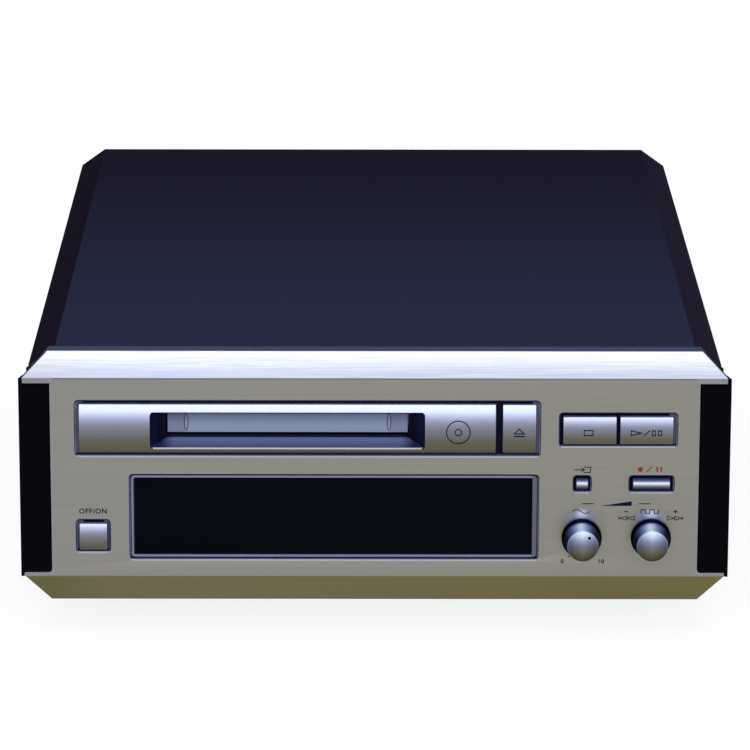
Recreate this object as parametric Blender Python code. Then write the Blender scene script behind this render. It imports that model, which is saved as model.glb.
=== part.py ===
"""Minidisc deck in a narrow hi-fi case, modelled as an assembly of separate pieces.

Metres, +Z up. The front panel faces -Y and +X is to the right of someone who looks at it. The origin
is on the ground, under the middle of the deck.
"""

import math

import bmesh
import bpy
from mathutils import Matrix, Vector

MM = 0.001

# The whole deck
BODY_WIDTH = 217.4 * MM
BODY_DEPTH = 293.0 * MM
FACE_HEIGHT = 63.0 * MM
SLOPE_HEIGHT = 8.2 * MM
SLOPE_SETBACK = 2.5 * MM
FOOT_HEIGHT = 9.0 * MM
SEAT_GAP = 0.3 * MM
OVERRUN = 2.0 * MM
EMBED = 0.5 * MM
WELD = 0.01 * MM

# Front panel: a C-shaped aluminium extrusion with mitred ends
PANEL_INSET = 1.15 * MM
PANEL_WALL = 3.0 * MM
PANEL_DEPTH = 7.1 * MM
PANEL_FLANGE = 2.0 * MM
MITRE_WIDTH = 8.0 * MM
LIP_TOP = 1.7 * MM
LIP_BOTTOM = 1.1 * MM
EDGE_CHAMFER = 0.38 * MM
WINDOW_RADIUS = 0.9 * MM

# Gloss black cheeks at the ends of the panel
CHEEK_WIDTH = 9.5 * MM
CHEEK_PROUD = 0.45 * MM
CHEEK_TAPER = 2.1 * MM
CHEEK_ROUND = 0.8 * MM
LIP_FIT = 0.1 * MM
SHOULDER_THICKNESS = 1.2 * MM

# Windows in the front panel: margins are from the cheeks, heights from the flat face's lower edge
LOADER_LEFT_MARGIN = 7.7 * MM
LOADER_RIGHT_MARGIN = 48.8 * MM
LOADER_UP = 47.05 * MM
LOADER_HEIGHT = 17.3 * MM
TRANSPORT_MARGIN = 6.9 * MM
TRANSPORT_UP = 46.75 * MM
TRANSPORT_WIDTH = 35.8 * MM
TRANSPORT_HEIGHT = 10.4 * MM
DISPLAY_LEFT_MARGIN = 24.2 * MM
DISPLAY_RIGHT_MARGIN = 49.15 * MM
DISPLAY_UP = 18.8 * MM
DISPLAY_HEIGHT = 26.9 * MM
POWER_MARGIN = 12.8 * MM
POWER_UP = 12.8 * MM
POWER_SIZE = 10.1 * MM
COLUMN_MARGIN = 14.4 * MM
COLUMN_PITCH = 21.25 * MM
SMALL_KEY_UP = 29.55 * MM
SMALL_KEY_HEIGHT = 5.0 * MM
INPUT_WIDTH = 5.2 * MM
RECORD_WIDTH = 13.5 * MM
KNOB_UP = 12.5 * MM

# Keys: slabs with a bowed front, on stems that reach back to their switches
KEY_SIDE_GAP = 1.0 * MM
KEY_TOP_GAP = 1.2 * MM
KEY_BOTTOM_GAP = 0.35 * MM
KEY_BACK = 2.2 * MM
KEY_TRAVEL = 0.8 * MM
KEY_CROWN = 0.1 * MM
KEY_STEM = 3.0 * MM
KEY_EDGE = 0.25 * MM
TALL_KEY_SAG = 1.2 * MM
WIDE_KEY_SAG = 0.55 * MM
ROUND_KEY_SAG = 1.5 * MM
EJECT_WIDTH = 10.4 * MM
EJECT_GAP = 1.95 * MM
TRANSPORT_KEY_WIDTH = 16.4 * MM
POWER_KEY_GAP = 0.75 * MM
INPUT_KEY_GAP = 0.7 * MM
RECORD_KEY_GAP = 1.0 * MM

# Loader bezel, the disc mouth in it and its flap
BEZEL_BACK = 3.0 * MM
MOUTH_UP = 46.3 * MM
MOUTH_WIDTH = 83.3 * MM
MOUTH_HEIGHT = 11.2 * MM
THROAT_FRONT = 5.0 * MM
THROAT_FLOOR = 42.9 * MM
THROAT_TOP = 53.3 * MM
BOSS_WIDTH = 84.0 * MM
BOSS_BACK = 9.6 * MM
BOSS_FLOOR = 39.6 * MM
BOSS_TOP = 54.2 * MM
DOOR_WIDTH = 73.7 * MM
DOOR_FRONT = 5.9 * MM
DOOR_THICKNESS = 1.2 * MM
DOOR_BOTTOM = 44.3 * MM
HINGE_UP = 52.0 * MM
HINGE_PIN_RADIUS = 0.5 * MM
HINGE_PIN_REACH = 1.2 * MM
DIMPLE_OFFSET = 31.1 * MM
DIMPLE_UP = 47.6 * MM
DIMPLE_WIDTH = 1.15 * MM
DIMPLE_HEIGHT = 5.4 * MM
DIMPLE_DEPTH = 0.25 * MM

# Display: a thin frame, a smoked window and the glass tube behind them
DISPLAY_GAP = 0.35 * MM
DISPLAY_LOWER_GAP = 0.55 * MM
DISPLAY_FRAME_LEFT = 0.65 * MM
DISPLAY_FRAME_RIGHT = 1.35 * MM
DISPLAY_FRAME_RAIL = 0.7 * MM
DISPLAY_FRAME_FRONT = 0.9 * MM
DISPLAY_WINDOW_FRONT = 1.3 * MM
TUBE_MARGIN = 5.5 * MM
TUBE_FRONT = 6.2 * MM
TUBE_GLASS = 2.4 * MM
TUBE_STEP = 1.5 * MM

# Moulded panel behind the aluminium one, and the switch board on its posts
SUBPANEL_THICKNESS = 2.0 * MM
SUBPANEL_BACK = 9.0 * MM
SUBPANEL_RIM = 2.0 * MM
SUBPANEL_CLEARANCE = 0.3 * MM
BOARD_FRONT = 14.0 * MM
BOARD_THICKNESS = 1.6 * MM
BOARD_MARGIN = 3.2 * MM
BOARD_LOW = 3.0 * MM
BOARD_STEP = 35.0 * MM
BOARD_HIGH = 54.0 * MM
POST_RADIUS = 2.2 * MM
POST_INSET = 3.0 * MM
SWITCH_SIZE = 6.0 * MM
SWITCH_DEPTH = 3.5 * MM

# Knobs with their shafts, bushings and bodies
KNOB_REACH = 10.0 * MM
KNOB_EDGE_REACH = 9.4 * MM
KNOB_LIFT = 0.5 * MM
KNOB_SKIRT = 1.2 * MM
KNOB_BASE_RADIUS = 6.15 * MM
KNOB_FACE_RADIUS = 4.85 * MM
KNOB_ROUND = 0.3 * MM
KNOB_BORE_DEPTH = 7.5 * MM
KNOB_ANGLE = math.radians(37.0)
DOT_ORBIT = 3.3 * MM
DOT_RADIUS = 0.5 * MM
DOT_DEPTH = 0.3 * MM
SHAFT_RADIUS = 3.0 * MM
SHAFT_FLAT = 0.8 * MM
SPINDLE_RADIUS = 2.0 * MM
SPINDLE_REACH = 6.5 * MM
BUSHING_RADIUS = 3.5 * MM
BUSHING_FRONT = 1.3 * MM
POT_SIZE = 12.0 * MM
ENCODER_SIZE = 11.0 * MM
POT_FRONT = 5.6 * MM

# Folded steel cover
COVER_INSET = 2.65 * MM
COVER_SHEET = 0.9 * MM
COVER_CHAMFER_WIDTH = 8.3 * MM
COVER_CHAMFER_HEIGHT = 6.0 * MM
COVER_SKIRT_UP = 0.6 * MM
COVER_LIP = 9.0 * MM

# Folded steel chassis tray
CHASSIS_FRONT = 9.3 * MM
CHASSIS_SHEET = 1.0 * MM
CHASSIS_CHAMFER_HEIGHT = 7.5 * MM
CHASSIS_FLANGE_UP = 13.0 * MM
CHASSIS_FOLD = 8.5 * MM
STANDOFF_RADIUS = 3.0 * MM
BOARD_UP = 17.0 * MM
VENT_COUNT = 5
VENT_MARGIN = 11.0 * MM
VENT_WIDTH = 3.0 * MM
VENT_END_MARGIN = 15.0 * MM

# Rear panel and what stands in it
REAR_SHEET = 1.0 * MM
REAR_INSET = 1.3 * MM
JACK_MARGIN = 42.85 * MM
JACK_UP = 44.0 * MM
JACK_PITCH = 14.0 * MM
JACK_RADIUS = 4.15 * MM
JACK_BORE = 1.7 * MM
JACK_REACH = 7.7 * MM
JACK_BLOCK_MARGIN = 6.5 * MM
JACK_BLOCK_DEPTH = 13.0 * MM
OPTICAL_SPACING = 48.0 * MM
OPTICAL_PITCH = 15.0 * MM
OPTICAL_SIZE = 9.7 * MM
OPTICAL_FLAP = 7.0 * MM
OPTICAL_FLAP_DEPTH = 0.6 * MM
OPTICAL_DEPTH = 12.0 * MM
OPTICAL_PROUD = 1.0 * MM
INLET_MARGIN = 28.85 * MM
INLET_UP = 30.0 * MM
INLET_WIDTH = 19.0 * MM
INLET_HEIGHT = 11.0 * MM
INLET_WALL = 1.8 * MM
INLET_DEPTH = 16.0 * MM
INLET_RECESS = 12.0 * MM
INLET_PIN_RADIUS = 1.2 * MM
INLET_PIN_PITCH = 8.6 * MM
INLET_FLANGE = 2.0 * MM

# Feet
FOOT_RADIUS = 13.0 * MM
FOOT_TOP_RADIUS = 11.8 * MM
FOOT_PAD_RADIUS = 10.0 * MM
FOOT_PAD = 1.2 * MM
FOOT_MARGIN = 26.85 * MM
FOOT_FRONT = 46.0 * MM
FOOT_BACK_MARGIN = 43.0 * MM

# Self-tapping screws
SCREW_HEAD_RADIUS = 2.9 * MM
SCREW_HEAD_HEIGHT = 1.6 * MM
SCREW_SHANK_RADIUS = 1.5 * MM
SCREW_LENGTH = 4.0 * MM
SCREW_RECESS = 0.7 * MM
SCREW_RECESS_RADIUS = 1.1 * MM
SIDE_SCREW_UP = 6.6 * MM
SIDE_SCREW_FRONT = 60.0 * MM
SIDE_SCREW_BACK_MARGIN = 53.0 * MM
REAR_SCREW_MARGIN = 18.0 * MM
REAR_SCREW_DROP = 5.0 * MM

# Disc mechanism: its heights are above the ground
BAY_FRONT = 17.0 * MM
BAY_DEPTH = 69.0 * MM
BAY_WIDTH = 73.0 * MM
BAY_HEIGHT = 5.9 * MM
BAY_FLOOR_UP = 43.6 * MM
HOLDER_SHEET = 0.8 * MM
HOLDER_LEDGE = 5.0 * MM
HOLDER_DROP = 4.0 * MM
HEAD_WINDOW = 18.0 * MM
HEAD_WINDOW_FRONT = 58.0 * MM
STUD_RADIUS = 1.0 * MM
STUD_REACH = 2.6 * MM
STUD_FRONT = 38.0 * MM
STUD_BACK = 76.0 * MM
STUD_RISE = 3.5 * MM
SLIDE_THICKNESS = 1.2 * MM
SLIDE_FRONT = 23.0 * MM
SLIDE_BACK = 98.0 * MM
SLIDE_DROP = 3.0 * MM
SLIDE_HEIGHT = 9.5 * MM
SLIDE_TRAVEL = 12.0 * MM
FRAME_FLOOR = 48.8 * MM
FRAME_SHEET = 1.2 * MM
FRAME_TOP = 69.0 * MM
FRAME_FRONT = 17.0 * MM
FRAME_BACK = 112.0 * MM
BRACKET_HALF = 36.0 * MM
BRACKET_FOOT = 8.0 * MM
BRACKET_FRONT = 25.0 * MM
BRACKET_BACK = 105.0 * MM
BRACKET_RIM = 6.0 * MM
BRACKET_HOLE_FRONT = 40.0 * MM
BRACKET_HOLE_BACK = 100.0 * MM
TOOTH_MODULE = 0.8 * MM
GEAR_TEETH = 8
GEAR_BACKLASH = 0.18 * MM
GEAR_CLEARANCE = 0.3 * MM
GEAR_SHAFT = 1.0 * MM
RUNNING_GAP = 0.3 * MM
LOADING_GEAR_Y = 88.0 * MM
LOADING_MOTOR_RADIUS = 6.5 * MM
LOADING_MOTOR_LENGTH = 17.0 * MM
LOADING_SHAFT = 9.0 * MM
DISC_CENTRE = 53.0 * MM
MOTOR_RADIUS = 12.0 * MM
MOTOR_HEIGHT = 5.5 * MM
MOTOR_EDGE = 0.8 * MM
TURNTABLE_RADIUS = 8.0 * MM
TURNTABLE_PLATE = 1.0 * MM
TURNTABLE_HUB_RADIUS = 3.0 * MM
TURNTABLE_HUB_HEIGHT = 1.5 * MM
TURNTABLE_LIFT = 1.2 * MM
TURNTABLE_SHAFT_DEPTH = 4.2 * MM
SLED_HALF = 12.0 * MM
SLED_FRONT = 66.6 * MM
SLED_LENGTH = 25.4 * MM
SLED_BOTTOM = 52.3 * MM
SLED_HEIGHT = 5.0 * MM
SLED_TRAVEL = 15.0 * MM
LENS_Y = 69.8 * MM
LENS_RADIUS = 2.4 * MM
LENS_HEIGHT = 1.2 * MM
ROD_OFFSET = 9.0 * MM
ROD_RADIUS = 1.0 * MM
ROD_HEIGHT = 54.8 * MM
ROD_POST_WIDTH = 5.0 * MM
ROD_POST_DEPTH = 2.0 * MM
ROD_POST_TOP = 57.0 * MM
ROD_FRONT = 64.0 * MM
ROD_BACK = 111.5 * MM
PINION_Y = 86.0 * MM
PINION_HEIGHT = 2.5 * MM
SLED_MOTOR_RADIUS = 6.0 * MM
SLED_MOTOR_HEIGHT = 12.0 * MM
SLED_MOTOR_SHAFT = 8.0 * MM
ARM_POST_WIDTH = 12.0 * MM
ARM_POST_DEPTH = 3.4 * MM
ARM_POST_TOP = 68.0 * MM
ARM_PIVOT = 66.6 * MM
ARM_PIN_RADIUS = 0.8 * MM
ARM_EAR = 1.0 * MM
ARM_WIDTH = 8.0 * MM
ARM_THICKNESS = 1.0 * MM
ARM_LIFT = 1.4 * MM
HEAD_SIZE = 4.0 * MM
HEAD_HEIGHT = 1.0 * MM

# Boards and power supply on the chassis floor
BOARD_SIDE_MARGIN = 6.85 * MM
BOARD_SPLIT = -37.0 * MM
BOARD_GAP = 6.0 * MM
BOARD_BEHIND = 10.0 * MM
MAIN_BACK_MARGIN = 4.0 * MM
SUPPLY_SPACE = 2.0 * MM
STANDOFF_INSET = 5.0 * MM
CHIP_HEIGHT = 2.5 * MM
CONNECTOR_HEIGHT = 8.0 * MM
CAPACITOR_RADIUS = 9.0 * MM
CAPACITOR_HEIGHT = 30.0 * MM
CAPACITOR_GROOVE = 0.9 * MM
CAPACITOR_BEAD = 3.0 * MM
CAPACITOR_MARGIN = 3.0 * MM
CAPACITOR_PITCH = 20.0 * MM
HEAT_SINK_MARGIN = 6.0 * MM
HEAT_SINK_EDGE = 0.5 * MM
HEAT_SINK_BASE = 3.0 * MM
HEAT_SINK_FIN = 1.4 * MM
HEAT_SINK_REACH = 14.0 * MM
HEAT_SINK_HEIGHT = 32.0 * MM
HEAT_SINK_FINS = 7
TRANSFORMER_BACK_MARGIN = 61.0 * MM
TRANSFORMER_SIDE_GAP = 2.0 * MM
STRAP_EAR = 6.0 * MM
CORE_DEPTH = 20.0 * MM
CORE_HEIGHT = 40.0 * MM
COIL_INSET = 9.0 * MM
COIL_DEPTH = 40.0 * MM
COIL_HEIGHT = 27.0 * MM
STRAP_DEPTH = 16.0 * MM
STRAP_SHEET = 1.5 * MM

# Numbers of flats on round shapes
ROUND_STEPS = 32
SMALL_STEPS = 16
TINY_STEPS = 10
BOW_STEPS = 10
DOME_STEPS = 5
CORNER_STEPS = 3

# Shares of the pieces that they belong to
MITRE_OVERRUN_SHARE = 0.5
CHIP_SHARES = ((0.3, 0.55, 0.17, 0.15), (0.62, 0.3, 0.11, 0.13), (0.72, 0.68, 0.09, 0.08))
CONNECTOR_SHARES = ((0.16, 0.09, 0.16, 0.04), (0.52, 0.09, 0.2, 0.04))

# Places that follow from the sizes above
PANEL_BOTTOM = FOOT_HEIGHT
FACE_BOTTOM = PANEL_BOTTOM + SLOPE_HEIGHT
FACE_TOP = FACE_BOTTOM + FACE_HEIGHT
PANEL_TOP = FACE_TOP + SLOPE_HEIGHT
FACE_Y = -(BODY_DEPTH + JACK_REACH - KNOB_REACH) / 2
PANEL_WIDTH = BODY_WIDTH - 2 * PANEL_INSET
CHEEK_INNER = BODY_WIDTH / 2 - CHEEK_WIDTH
LOADER_LEFT = LOADER_LEFT_MARGIN - CHEEK_INNER
LOADER_RIGHT = CHEEK_INNER - LOADER_RIGHT_MARGIN
LOADER_WIDTH = LOADER_RIGHT - LOADER_LEFT
LOADER_X = (LOADER_LEFT + LOADER_RIGHT) / 2
EJECT_RIGHT = LOADER_RIGHT - KEY_SIDE_GAP
EJECT_LEFT = EJECT_RIGHT - EJECT_WIDTH
BEZEL_LEFT = LOADER_LEFT + KEY_SIDE_GAP
BEZEL_RIGHT = EJECT_LEFT - EJECT_GAP
SLOT_X = (BEZEL_LEFT + BEZEL_RIGHT) / 2
TRANSPORT_X = CHEEK_INNER - TRANSPORT_MARGIN - TRANSPORT_WIDTH / 2
DISPLAY_LEFT = DISPLAY_LEFT_MARGIN - CHEEK_INNER
DISPLAY_RIGHT = CHEEK_INNER - DISPLAY_RIGHT_MARGIN
DISPLAY_WIDTH = DISPLAY_RIGHT - DISPLAY_LEFT
DISPLAY_X = (DISPLAY_LEFT + DISPLAY_RIGHT) / 2
POWER_X = POWER_MARGIN - CHEEK_INNER
RIGHT_COLUMN_X = CHEEK_INNER - COLUMN_MARGIN
LEFT_COLUMN_X = RIGHT_COLUMN_X - COLUMN_PITCH
BOARD_HALF = CHEEK_INNER - BOARD_MARGIN
COVER_HALF = BODY_WIDTH / 2 - COVER_INSET
COVER_FRONT = PANEL_DEPTH + SEAT_GAP
CHASSIS_HALF = COVER_HALF - COVER_SHEET - SEAT_GAP
CHASSIS_BOTTOM = FOOT_HEIGHT + SEAT_GAP
CHASSIS_FLOOR = CHASSIS_BOTTOM + CHASSIS_SHEET
CHASSIS_BACK = BODY_DEPTH - REAR_INSET
REAR_PANEL_FRONT = CHASSIS_BACK - REAR_SHEET
JACK_X = CHASSIS_HALF - JACK_MARGIN
OPTICAL_X = JACK_X - OPTICAL_SPACING
INLET_X = INLET_MARGIN - CHASSIS_HALF
FOOT_X = CHASSIS_HALF - FOOT_MARGIN
FOOT_BACK = BODY_DEPTH - FOOT_BACK_MARGIN
SIDE_SCREW_BACK = BODY_DEPTH - SIDE_SCREW_BACK_MARGIN
REAR_SCREW_X = COVER_HALF - REAR_SCREW_MARGIN
MAIN_LEFT = BOARD_SPLIT + BOARD_GAP / 2
MAIN_RIGHT = CHASSIS_HALF - BOARD_SIDE_MARGIN
MAIN_FRONT = FRAME_BACK + BOARD_BEHIND
MAIN_BACK = BODY_DEPTH - MAIN_BACK_MARGIN
SUPPLY_LEFT = BOARD_SIDE_MARGIN - CHASSIS_HALF
SUPPLY_RIGHT = BOARD_SPLIT - BOARD_GAP / 2
SUPPLY_FRONT = MAIN_FRONT
TRANSFORMER_Y = BODY_DEPTH - TRANSFORMER_BACK_MARGIN
TRANSFORMER_X = (SUPPLY_LEFT + MAIN_LEFT) / 2
STRAP_WIDTH = MAIN_LEFT - SUPPLY_LEFT - 2 * TRANSFORMER_SIDE_GAP
CORE_WIDTH = STRAP_WIDTH - 2 * STRAP_EAR
COIL_WIDTH = CORE_WIDTH - 2 * COIL_INSET
SUPPLY_BACK = TRANSFORMER_Y - COIL_DEPTH / 2 - SUPPLY_SPACE
CAPACITOR_X = SUPPLY_LEFT + CAPACITOR_MARGIN + CAPACITOR_RADIUS
CAPACITOR_Y = SUPPLY_FRONT + CAPACITOR_MARGIN + CAPACITOR_RADIUS
HEAT_SINK_X = (SUPPLY_LEFT + SUPPLY_RIGHT) / 2
HEAT_SINK_WIDTH = SUPPLY_RIGHT - SUPPLY_LEFT - 2 * HEAT_SINK_MARGIN
HEAT_SINK_Y = SUPPLY_BACK - HEAT_SINK_EDGE - HEAT_SINK_REACH - HEAT_SINK_BASE
VENT_PITCH = (SUPPLY_RIGHT - SUPPLY_LEFT - 2 * VENT_MARGIN) / (VENT_COUNT - 1)
VENT_LENGTH = SUPPLY_BACK - SUPPLY_FRONT - 2 * VENT_END_MARGIN
BAY_FLOOR = FACE_BOTTOM + BAY_FLOOR_UP
HOLDER_HALF = BAY_WIDTH / 2 + HOLDER_SHEET
HOLDER_TOP = BAY_FLOOR + BAY_HEIGHT + HOLDER_SHEET
FRAME_HALF = HOLDER_HALF + SLIDE_THICKNESS + 2 * SEAT_GAP
STUD_HEIGHT = BAY_FLOOR - HOLDER_SHEET + STUD_RISE
SLIDE_BOTTOM = BAY_FLOOR - HOLDER_SHEET - SLIDE_DROP
GEAR_RADIUS = TOOTH_MODULE * GEAR_TEETH / 2
GEAR_TIP = GEAR_RADIUS + TOOTH_MODULE
TOOTH_PITCH = math.pi * TOOTH_MODULE
GEAR_MESH = GEAR_RADIUS + TOOTH_MODULE + GEAR_CLEARANCE
MECH_FLOOR = FRAME_FLOOR + FRAME_SHEET
SWITCH_FRONT = BOARD_FRONT - SWITCH_DEPTH
KEY_STEM_BACK = SWITCH_FRONT - KEY_TRAVEL - SEAT_GAP
HINGE_DEPTH = DOOR_FRONT + DOOR_THICKNESS / 2


def at(depth):
    """Y of a place this far behind the flat face of the front panel."""
    return FACE_Y + depth


def up(height):
    """Z of a place this far above the lower edge of the flat face."""
    return FACE_BOTTOM + height


def finish(piece, colour, roughness, metallic):
    """Give a piece its own plain material."""
    paint = bpy.data.materials.new(piece.name)
    paint.use_nodes = True
    shader = paint.node_tree.nodes["Principled BSDF"]
    shader.inputs["Base Color"].default_value = (*colour, 1.0)
    shader.inputs["Roughness"].default_value = roughness
    shader.inputs["Metallic"].default_value = metallic
    piece.data.materials.clear()
    piece.data.materials.append(paint)
    return piece


def add_piece(name, bm):
    """Turn a closed bmesh into an object with its faces pointing out."""
    bmesh.ops.recalc_face_normals(bm, faces=bm.faces)
    mesh = bpy.data.meshes.new(name)
    bm.to_mesh(mesh)
    bm.free()
    piece = bpy.data.objects.new(name, mesh)
    bpy.context.scene.collection.objects.link(piece)
    return piece


def place_on(axis, across, along, level):
    """Point of an outline drawn square to an axis, at a level along that axis."""
    if axis == "X":
        return (level, across, along)
    if axis == "Y":
        return (across, level, along)
    return (across, along, level)


def prism(name, outline, axis, start, end):
    """Extrude an outline along an axis."""
    bm = bmesh.new()
    base = bm.faces.new([bm.verts.new(place_on(axis, u, v, start)) for u, v in outline])
    grown = bmesh.ops.extrude_face_region(bm, geom=[base])
    far_verts = [part for part in grown["geom"] if isinstance(part, bmesh.types.BMVert)]
    bmesh.ops.translate(bm, verts=far_verts, vec=place_on(axis, 0, 0, end - start))
    return add_piece(name, bm)


def block(name, x_range, y_range, z_range):
    """Square-edged block between two corners."""
    (left, right), (front, back), (bottom, top) = x_range, y_range, z_range
    outline = [(left, front), (right, front), (right, back), (left, back)]
    return prism(name, outline, "Z", bottom, top)


def loft(name, rings):
    """Skin a row of matching rings and close both ends."""
    bm = bmesh.new()
    loops = [[bm.verts.new(point) for point in ring] for ring in rings]
    for near, far in zip(loops, loops[1:]):
        for i in range(len(near)):
            j = (i + 1) % len(near)
            bm.faces.new((near[i], near[j], far[j], far[i]))
    bm.faces.new(loops[0])
    bm.faces.new(loops[-1])
    return add_piece(name, bm)


def turned(name, profile, foot, direction, steps):
    """Spin a profile of (radius, distance) pairs about an axis that starts at foot."""
    bm = bmesh.new()
    verts = [bm.verts.new((radius, 0, distance)) for radius, distance in profile]
    edges = [bm.edges.new(pair) for pair in zip(verts, verts[1:] + verts[:1])]
    bmesh.ops.spin(bm, geom=verts + edges, cent=(0, 0, 0), axis=(0, 0, 1),
                   angle=math.tau, steps=steps, use_merge=True)
    bmesh.ops.remove_doubles(bm, verts=bm.verts, dist=WELD)
    loose = [edge for edge in bm.edges if not edge.link_faces]
    bmesh.ops.delete(bm, geom=loose, context="EDGES")
    turn = Vector((0, 0, 1)).rotation_difference(Vector(direction)).to_matrix().to_4x4()
    bmesh.ops.transform(bm, matrix=Matrix.Translation(foot) @ turn, verts=bm.verts)
    piece = add_piece(name, bm)
    piece.data.shade_smooth()
    piece.data.set_sharp_from_angle(angle=math.radians(30))
    return piece


def rod(name, foot, direction, radius, length, steps=SMALL_STEPS):
    """Plain round bar."""
    return turned(name, [(0, 0), (radius, 0), (radius, length), (0, length)], foot, direction, steps)


def shape(piece, operation, tools):
    """Cut tools out of a piece, or join them to it."""
    for tool in tools:
        modifier = piece.modifiers.new(tool.name, "BOOLEAN")
        modifier.operation = operation
        modifier.solver = "EXACT"
        modifier.object = tool
        tool.hide_render = True
        tool.display_type = "WIRE"
    return piece


def soften(piece, width):
    """Break the sharp edges of a moulding."""
    modifier = piece.modifiers.new("edges", "BEVEL")
    modifier.width = width
    modifier.segments = 1
    modifier.limit_method = "ANGLE"
    modifier.angle_limit = math.radians(40)
    return piece


def hang_at(piece, point):
    """Put the origin of a moving piece on its joint."""
    piece.data.transform(Matrix.Translation(-Vector(point)))
    piece.location = point
    return piece


def rounded(centre_x, centre_z, width, height, radius):
    """Rounded rectangle in the X-Z plane."""
    corners = ((1, 1, 0), (-1, 1, 1), (-1, -1, 2), (1, -1, 3))
    outline = []
    for side, level, quarter in corners:
        x = centre_x + side * (width / 2 - radius)
        z = centre_z + level * (height / 2 - radius)
        for step in range(CORNER_STEPS + 1):
            angle = math.tau / 4 * (quarter + step / CORNER_STEPS)
            outline.append((x + radius * math.cos(angle), z + radius * math.sin(angle)))
    return outline


def rounded_spans(x_span, z_span, radius):
    """Rounded rectangle between its left and right and its lower and upper sides."""
    return rounded(sum(x_span) / 2, sum(z_span) / 2, x_span[1] - x_span[0], z_span[1] - z_span[0], radius)


def at_depth(outline, depth):
    """Ring of an X-Z outline at a depth behind the face."""
    return [(x, at(depth), z) for x, z in outline]


def window_cutter(name, x, height, wide, tall):
    """Cutter for a panel window, flared so that it also breaks the window's edge."""
    rings = []
    for depth, grow in ((-OVERRUN, OVERRUN + EDGE_CHAMFER), (EDGE_CHAMFER, 0),
                        (PANEL_WALL + OVERRUN, 0)):
        outline = rounded(x, up(height), wide + 2 * grow, tall + 2 * grow, WINDOW_RADIUS + grow)
        rings.append(at_depth(outline, depth))
    return loft(name, rings)


def lower_corner(x, z, radius):
    """Round of a lower inner corner, from its low end to its high end."""
    points = []
    for step in range(CORNER_STEPS + 1):
        angle = math.tau * (0.75 - step / CORNER_STEPS / 4)
        points.append((x + radius + radius * math.cos(angle), z + radius + radius * math.sin(angle)))
    return points


def front_panel():
    """Brushed aluminium extrusion with sloped edges, mitred ends and its windows."""
    half = PANEL_WIDTH / 2
    slope_back = SLOPE_SETBACK + PANEL_WALL
    upper = [(at(PANEL_WALL), FACE_TOP), (at(slope_back), PANEL_TOP - PANEL_FLANGE),
             (at(PANEL_DEPTH), PANEL_TOP - PANEL_FLANGE), (at(PANEL_DEPTH), PANEL_TOP),
             (at(SLOPE_SETBACK), PANEL_TOP), (at(0), FACE_TOP)]
    lower = [(y, FACE_BOTTOM + FACE_TOP - z) for y, z in reversed(upper)]
    panel = prism("front_panel", upper + lower, "X", -half, half)
    middle = (FACE_TOP + FACE_BOTTOM) / 2
    reach = 1 + MITRE_OVERRUN_SHARE
    for side in (-1, 1):
        for level in (-1, 1):
            out_x = side * (half + MITRE_WIDTH * MITRE_OVERRUN_SHARE)
            in_x = side * (half - MITRE_WIDTH * reach)
            near_z = middle + level * (FACE_HEIGHT / 2 - SLOPE_HEIGHT * MITRE_OVERRUN_SHARE)
            far_z = middle + level * (FACE_HEIGHT / 2 + SLOPE_HEIGHT * reach)
            corner = [(out_x, near_z), (in_x, far_z), (out_x, far_z)]
            shape(panel, "DIFFERENCE", [prism("mitre_cut", corner, "Y", at(-OVERRUN),
                                              at(PANEL_DEPTH + OVERRUN))])
        outline = [(CHEEK_INNER, FACE_TOP - LIP_TOP), (half + OVERRUN, FACE_TOP - LIP_TOP),
                   (half + OVERRUN, FACE_BOTTOM + LIP_BOTTOM)]
        outline += lower_corner(CHEEK_INNER, FACE_BOTTOM + LIP_BOTTOM, CHEEK_ROUND + SEAT_GAP)
        notch = prism("cheek_notch", [(side * x, z) for x, z in outline], "Y", at(-OVERRUN), at(PANEL_DEPTH))
        shape(panel, "DIFFERENCE", [notch])
    windows = (("loader", LOADER_X, LOADER_UP, LOADER_WIDTH, LOADER_HEIGHT),
               ("transport", TRANSPORT_X, TRANSPORT_UP, TRANSPORT_WIDTH, TRANSPORT_HEIGHT),
               ("display", DISPLAY_X, DISPLAY_UP, DISPLAY_WIDTH, DISPLAY_HEIGHT),
               ("power", POWER_X, POWER_UP, POWER_SIZE, POWER_SIZE),
               ("input", LEFT_COLUMN_X, SMALL_KEY_UP, INPUT_WIDTH, SMALL_KEY_HEIGHT),
               ("record", RIGHT_COLUMN_X, SMALL_KEY_UP, RECORD_WIDTH, SMALL_KEY_HEIGHT))
    for name, x, height, wide, tall in windows:
        shape(panel, "DIFFERENCE", [window_cutter(name + "_cut", x, height, wide, tall)])
    for x in (LEFT_COLUMN_X, RIGHT_COLUMN_X):
        hole = rod("bushing_hole", (x, at(-OVERRUN), up(KNOB_UP)), (0, 1, 0),
                   BUSHING_RADIUS + SEAT_GAP, PANEL_WALL + 2 * OVERRUN)
        shape(panel, "DIFFERENCE", [hole])
    return finish(panel, (0.55, 0.55, 0.52), 0.35, 1.0)


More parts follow.
